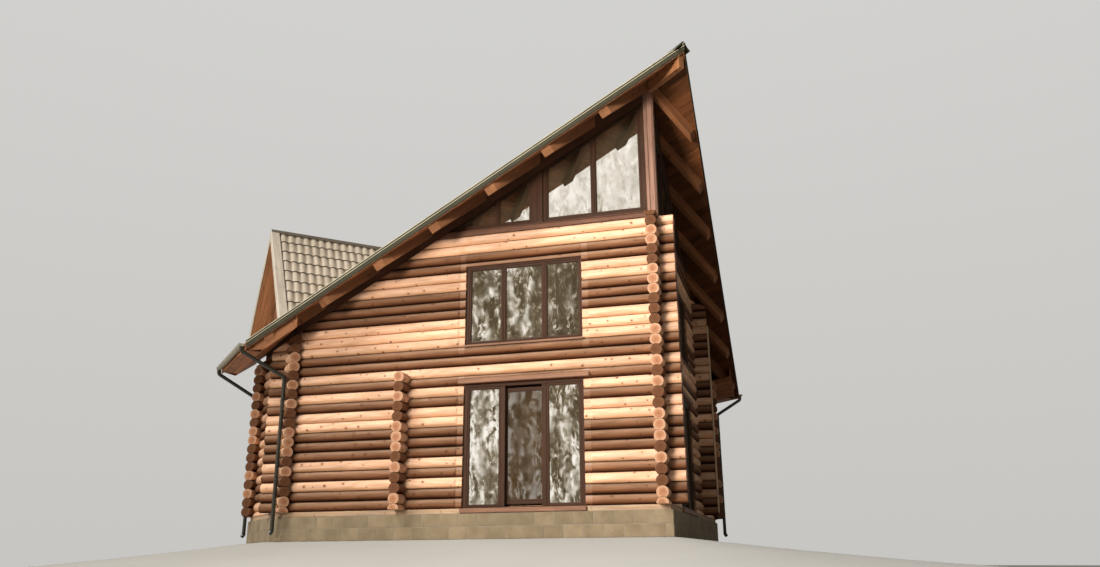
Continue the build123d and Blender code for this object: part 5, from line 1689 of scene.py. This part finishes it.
# darker on the right hand side, away from the key light
dp = wnode("VectorMath", operation="DOT_PRODUCT")
wt.links.new(tc.outputs["Generated"], dp.inputs[0])
dp.inputs[1].default_value = (0.76, -0.65, 0.0)
mr2 = wnode("MapRange")
mr2.inputs["From Min"].default_value = -0.6
mr2.inputs["From Max"].default_value = 0.9
mr2.inputs["To Min"].default_value = 0.90
mr2.inputs["To Max"].default_value = 0.24
wt.links.new(dp.outputs["Value"], mr2.inputs["Value"])
wt.links.new(rp.outputs[0], bg.inputs["Color"])
wt.links.new(mr2.outputs[0], bg.inputs["Strength"])


def wmath(op, a, b=None):
    n = wnode("Math", operation=op)
    for k, v in enumerate((a, b)):
        if v is None:
            continue
        if isinstance(v, bpy.types.NodeSocket):
            wt.links.new(v, n.inputs[k])
        else:
            n.inputs[k].default_value = v
    return n.outputs[0]


def wrange(v, a, b, c, d, kind="SMOOTHSTEP"):
    n = wnode("MapRange", interpolation_type=kind)
    for key, x in (("From Min", a), ("From Max", b), ("To Min", c), ("To Max", d)):
        n.inputs[key].default_value = x
    wt.links.new(v, n.inputs["Value"])
    return n.outputs[0]


def wnoise(scale, detail, rough, distort=0.0):
    s = wnode("VectorMath", operation="MULTIPLY")
    wt.links.new(tc.outputs["Generated"], s.inputs[0])
    s.inputs[1].default_value = scale
    n = wnode("TexNoise")
    n.inputs["Scale"].default_value = 1.0
    n.inputs["Detail"].default_value = detail
    n.inputs["Roughness"].default_value = rough
    n.inputs["Distortion"].default_value = distort
    wt.links.new(s.outputs[0], n.inputs["Vector"])
    return n.outputs["Fac"]


# broken light that only shows as a gloss, low on the left: dark and warm
# between bright gaps, brighter high up
dl = wnode("VectorMath", operation="DOT_PRODUCT")
wt.links.new(tc.outputs["Generated"], dl.inputs[0])
dl.inputs[1].default_value = Vector((-0.85, -0.46, 0.22)).normalized()
lobe = wrange(dl.outputs["Value"], 0.80, 0.94, 0.0, 1.0)
height = wrange(sp.outputs[2], 0.30, 0.40, 0.0, 1.0)
fine = wnoise((215.0, 215.0, 92.0), 5.0, 0.64, 0.9)
tall = wnoise((95.0, 95.0, 12.0), 3.0, 0.55, 0.3)
t = wmath("ADD", wmath("MULTIPLY", fine, 0.62), wmath("MULTIPLY", tall, 0.38))
# calmer and brighter high up, a little darker halfway
calm = wmath("MULTIPLY", wmath("SUBTRACT", 0.612, t), wmath("MULTIPLY", height, 0.72))
t = wmath("ADD", t, calm)
band = wmath("MULTIPLY", wrange(sp.outputs[2], 0.17, 0.24, 0.0, 1.0), wmath("SUBTRACT", 1.0, height))
t = wmath("SUBTRACT", t, wmath("MULTIPLY", band, 0.035))
# brighter on the side away from the prow
swing = wnode("VectorMath", operation="DOT_PRODUCT")
wt.links.new(tc.outputs["Generated"], swing.inputs[0])
swing.inputs[1].default_value = (0.47, -0.88, 0.0)
t = wmath("ADD", t, wrange(swing.outputs["Value"], -0.08, 0.06, 0.034, -0.011, "LINEAR"))
ramp = wnode("ValToRGB")
ramp.color_ramp.elements[0].position = 0.42
ramp.color_ramp.elements[0].color = (0.034, 0.024, 0.012, 1)
ramp.color_ramp.elements[1].position = 0.60
ramp.color_ramp.elements[1].color = (1.0, 0.955, 0.875, 1)
for pos, col in ((0.475, (0.080, 0.060, 0.034, 1)), (0.515, (0.24, 0.20, 0.14, 1)), (0.55, (0.62, 0.57, 0.48, 1))):
    e = ramp.color_ramp.elements.new(pos)
    e.color = col
wt.links.new(t, ramp.inputs[0])
bg2 = wnode("Background")
bg2.inputs["Strength"].default_value = 2.6
wt.links.new(ramp.outputs[0], bg2.inputs["Color"])
lp = wnode("LightPath")
mixw = wnode("MixShader")
wt.links.new(wmath("MULTIPLY", lobe, lp.outputs["Is Glossy Ray"]), mixw.inputs[0])
wt.links.new(bg.outputs[0], mixw.inputs[1])
wt.links.new(bg2.outputs[0], mixw.inputs[2])
# plain pale backdrop behind the object
bg3 = wnode("Background")
ramp3 = wnode("ValToRGB")
ramp3.color_ramp.elements[0].position = 0.45
ramp3.color_ramp.elements[0].color = (0.56, 0.55, 0.53, 1)
ramp3.color_ramp.elements[1].position = 0.85
ramp3.color_ramp.elements[1].color = (0.66, 0.655, 0.64, 1)
wt.links.new(mr.outputs[0], ramp3.inputs[0])
wt.links.new(ramp3.outputs[0], bg3.inputs["Color"])
mixc = wnode("MixShader")
wt.links.new(lp.outputs["Is Camera Ray"], mixc.inputs[0])
wt.links.new(mixw.outputs[0], mixc.inputs[1])
wt.links.new(bg3.outputs[0], mixc.inputs[2])
wt.links.new(mixc.outputs[0], wo.inputs[0])


def area(name, at, to, size, power, color):
    li = bpy.data.lights.new(name, "AREA")
    li.shape = "SQUARE"
    li.size = size
    li.energy = power
    li.color = color
    ob = bpy.data.objects.new(name, li)
    ob.location = at
    ob.rotation_euler = (Vector(to) - Vector(at)).to_track_quat("-Z", "Y").to_euler()
    bpy.context.scene.collection.objects.link(ob)
    return ob


area("key_light", (-34.5, -6.0, 39.0), (-1, -2, 4.0), 12.0, 20400.0, (1.0, 0.95, 0.87))
front = area("front_light", (-22.5, -17.0, 6.5), (0.4, -10.0, 5.5), 7.0, 1850.0, (1.0, 0.96, 0.92))
front.data.spread = math.radians(72)
front.visible_camera = False
front.visible_glossy = False

# ------------------------------------------------------------------- camera
cam = bpy.data.cameras.new("photo_camera")
cam.sensor_width = 36.0
cam.lens = 869.0 * 36.0 / 1100.0
cam.clip_end = 500.0
co = bpy.data.objects.new("photo_camera", cam)
bpy.context.scene.collection.objects.link(co)
yaw, pit, rol = math.radians(29.27), math.radians(17.32), math.radians(-0.455)
fwd = Vector((math.cos(pit) * math.sin(yaw), math.cos(pit) * math.cos(yaw), math.sin(pit)))
right = Vector((math.cos(yaw), -math.sin(yaw), 0.0))
up = right.cross(fwd)
r2 = right * math.cos(rol) + up * math.sin(rol)
u2 = up * math.cos(rol) - right * math.sin(rol)
mat = Matrix((r2, u2, -fwd)).transposed().to_4x4()
mat.translation = Vector((-10.285, -21.029, -0.302))
co.matrix_world = mat
bpy.context.scene.camera = co
bpy.context.scene.view_settings.view_transform = "Standard"
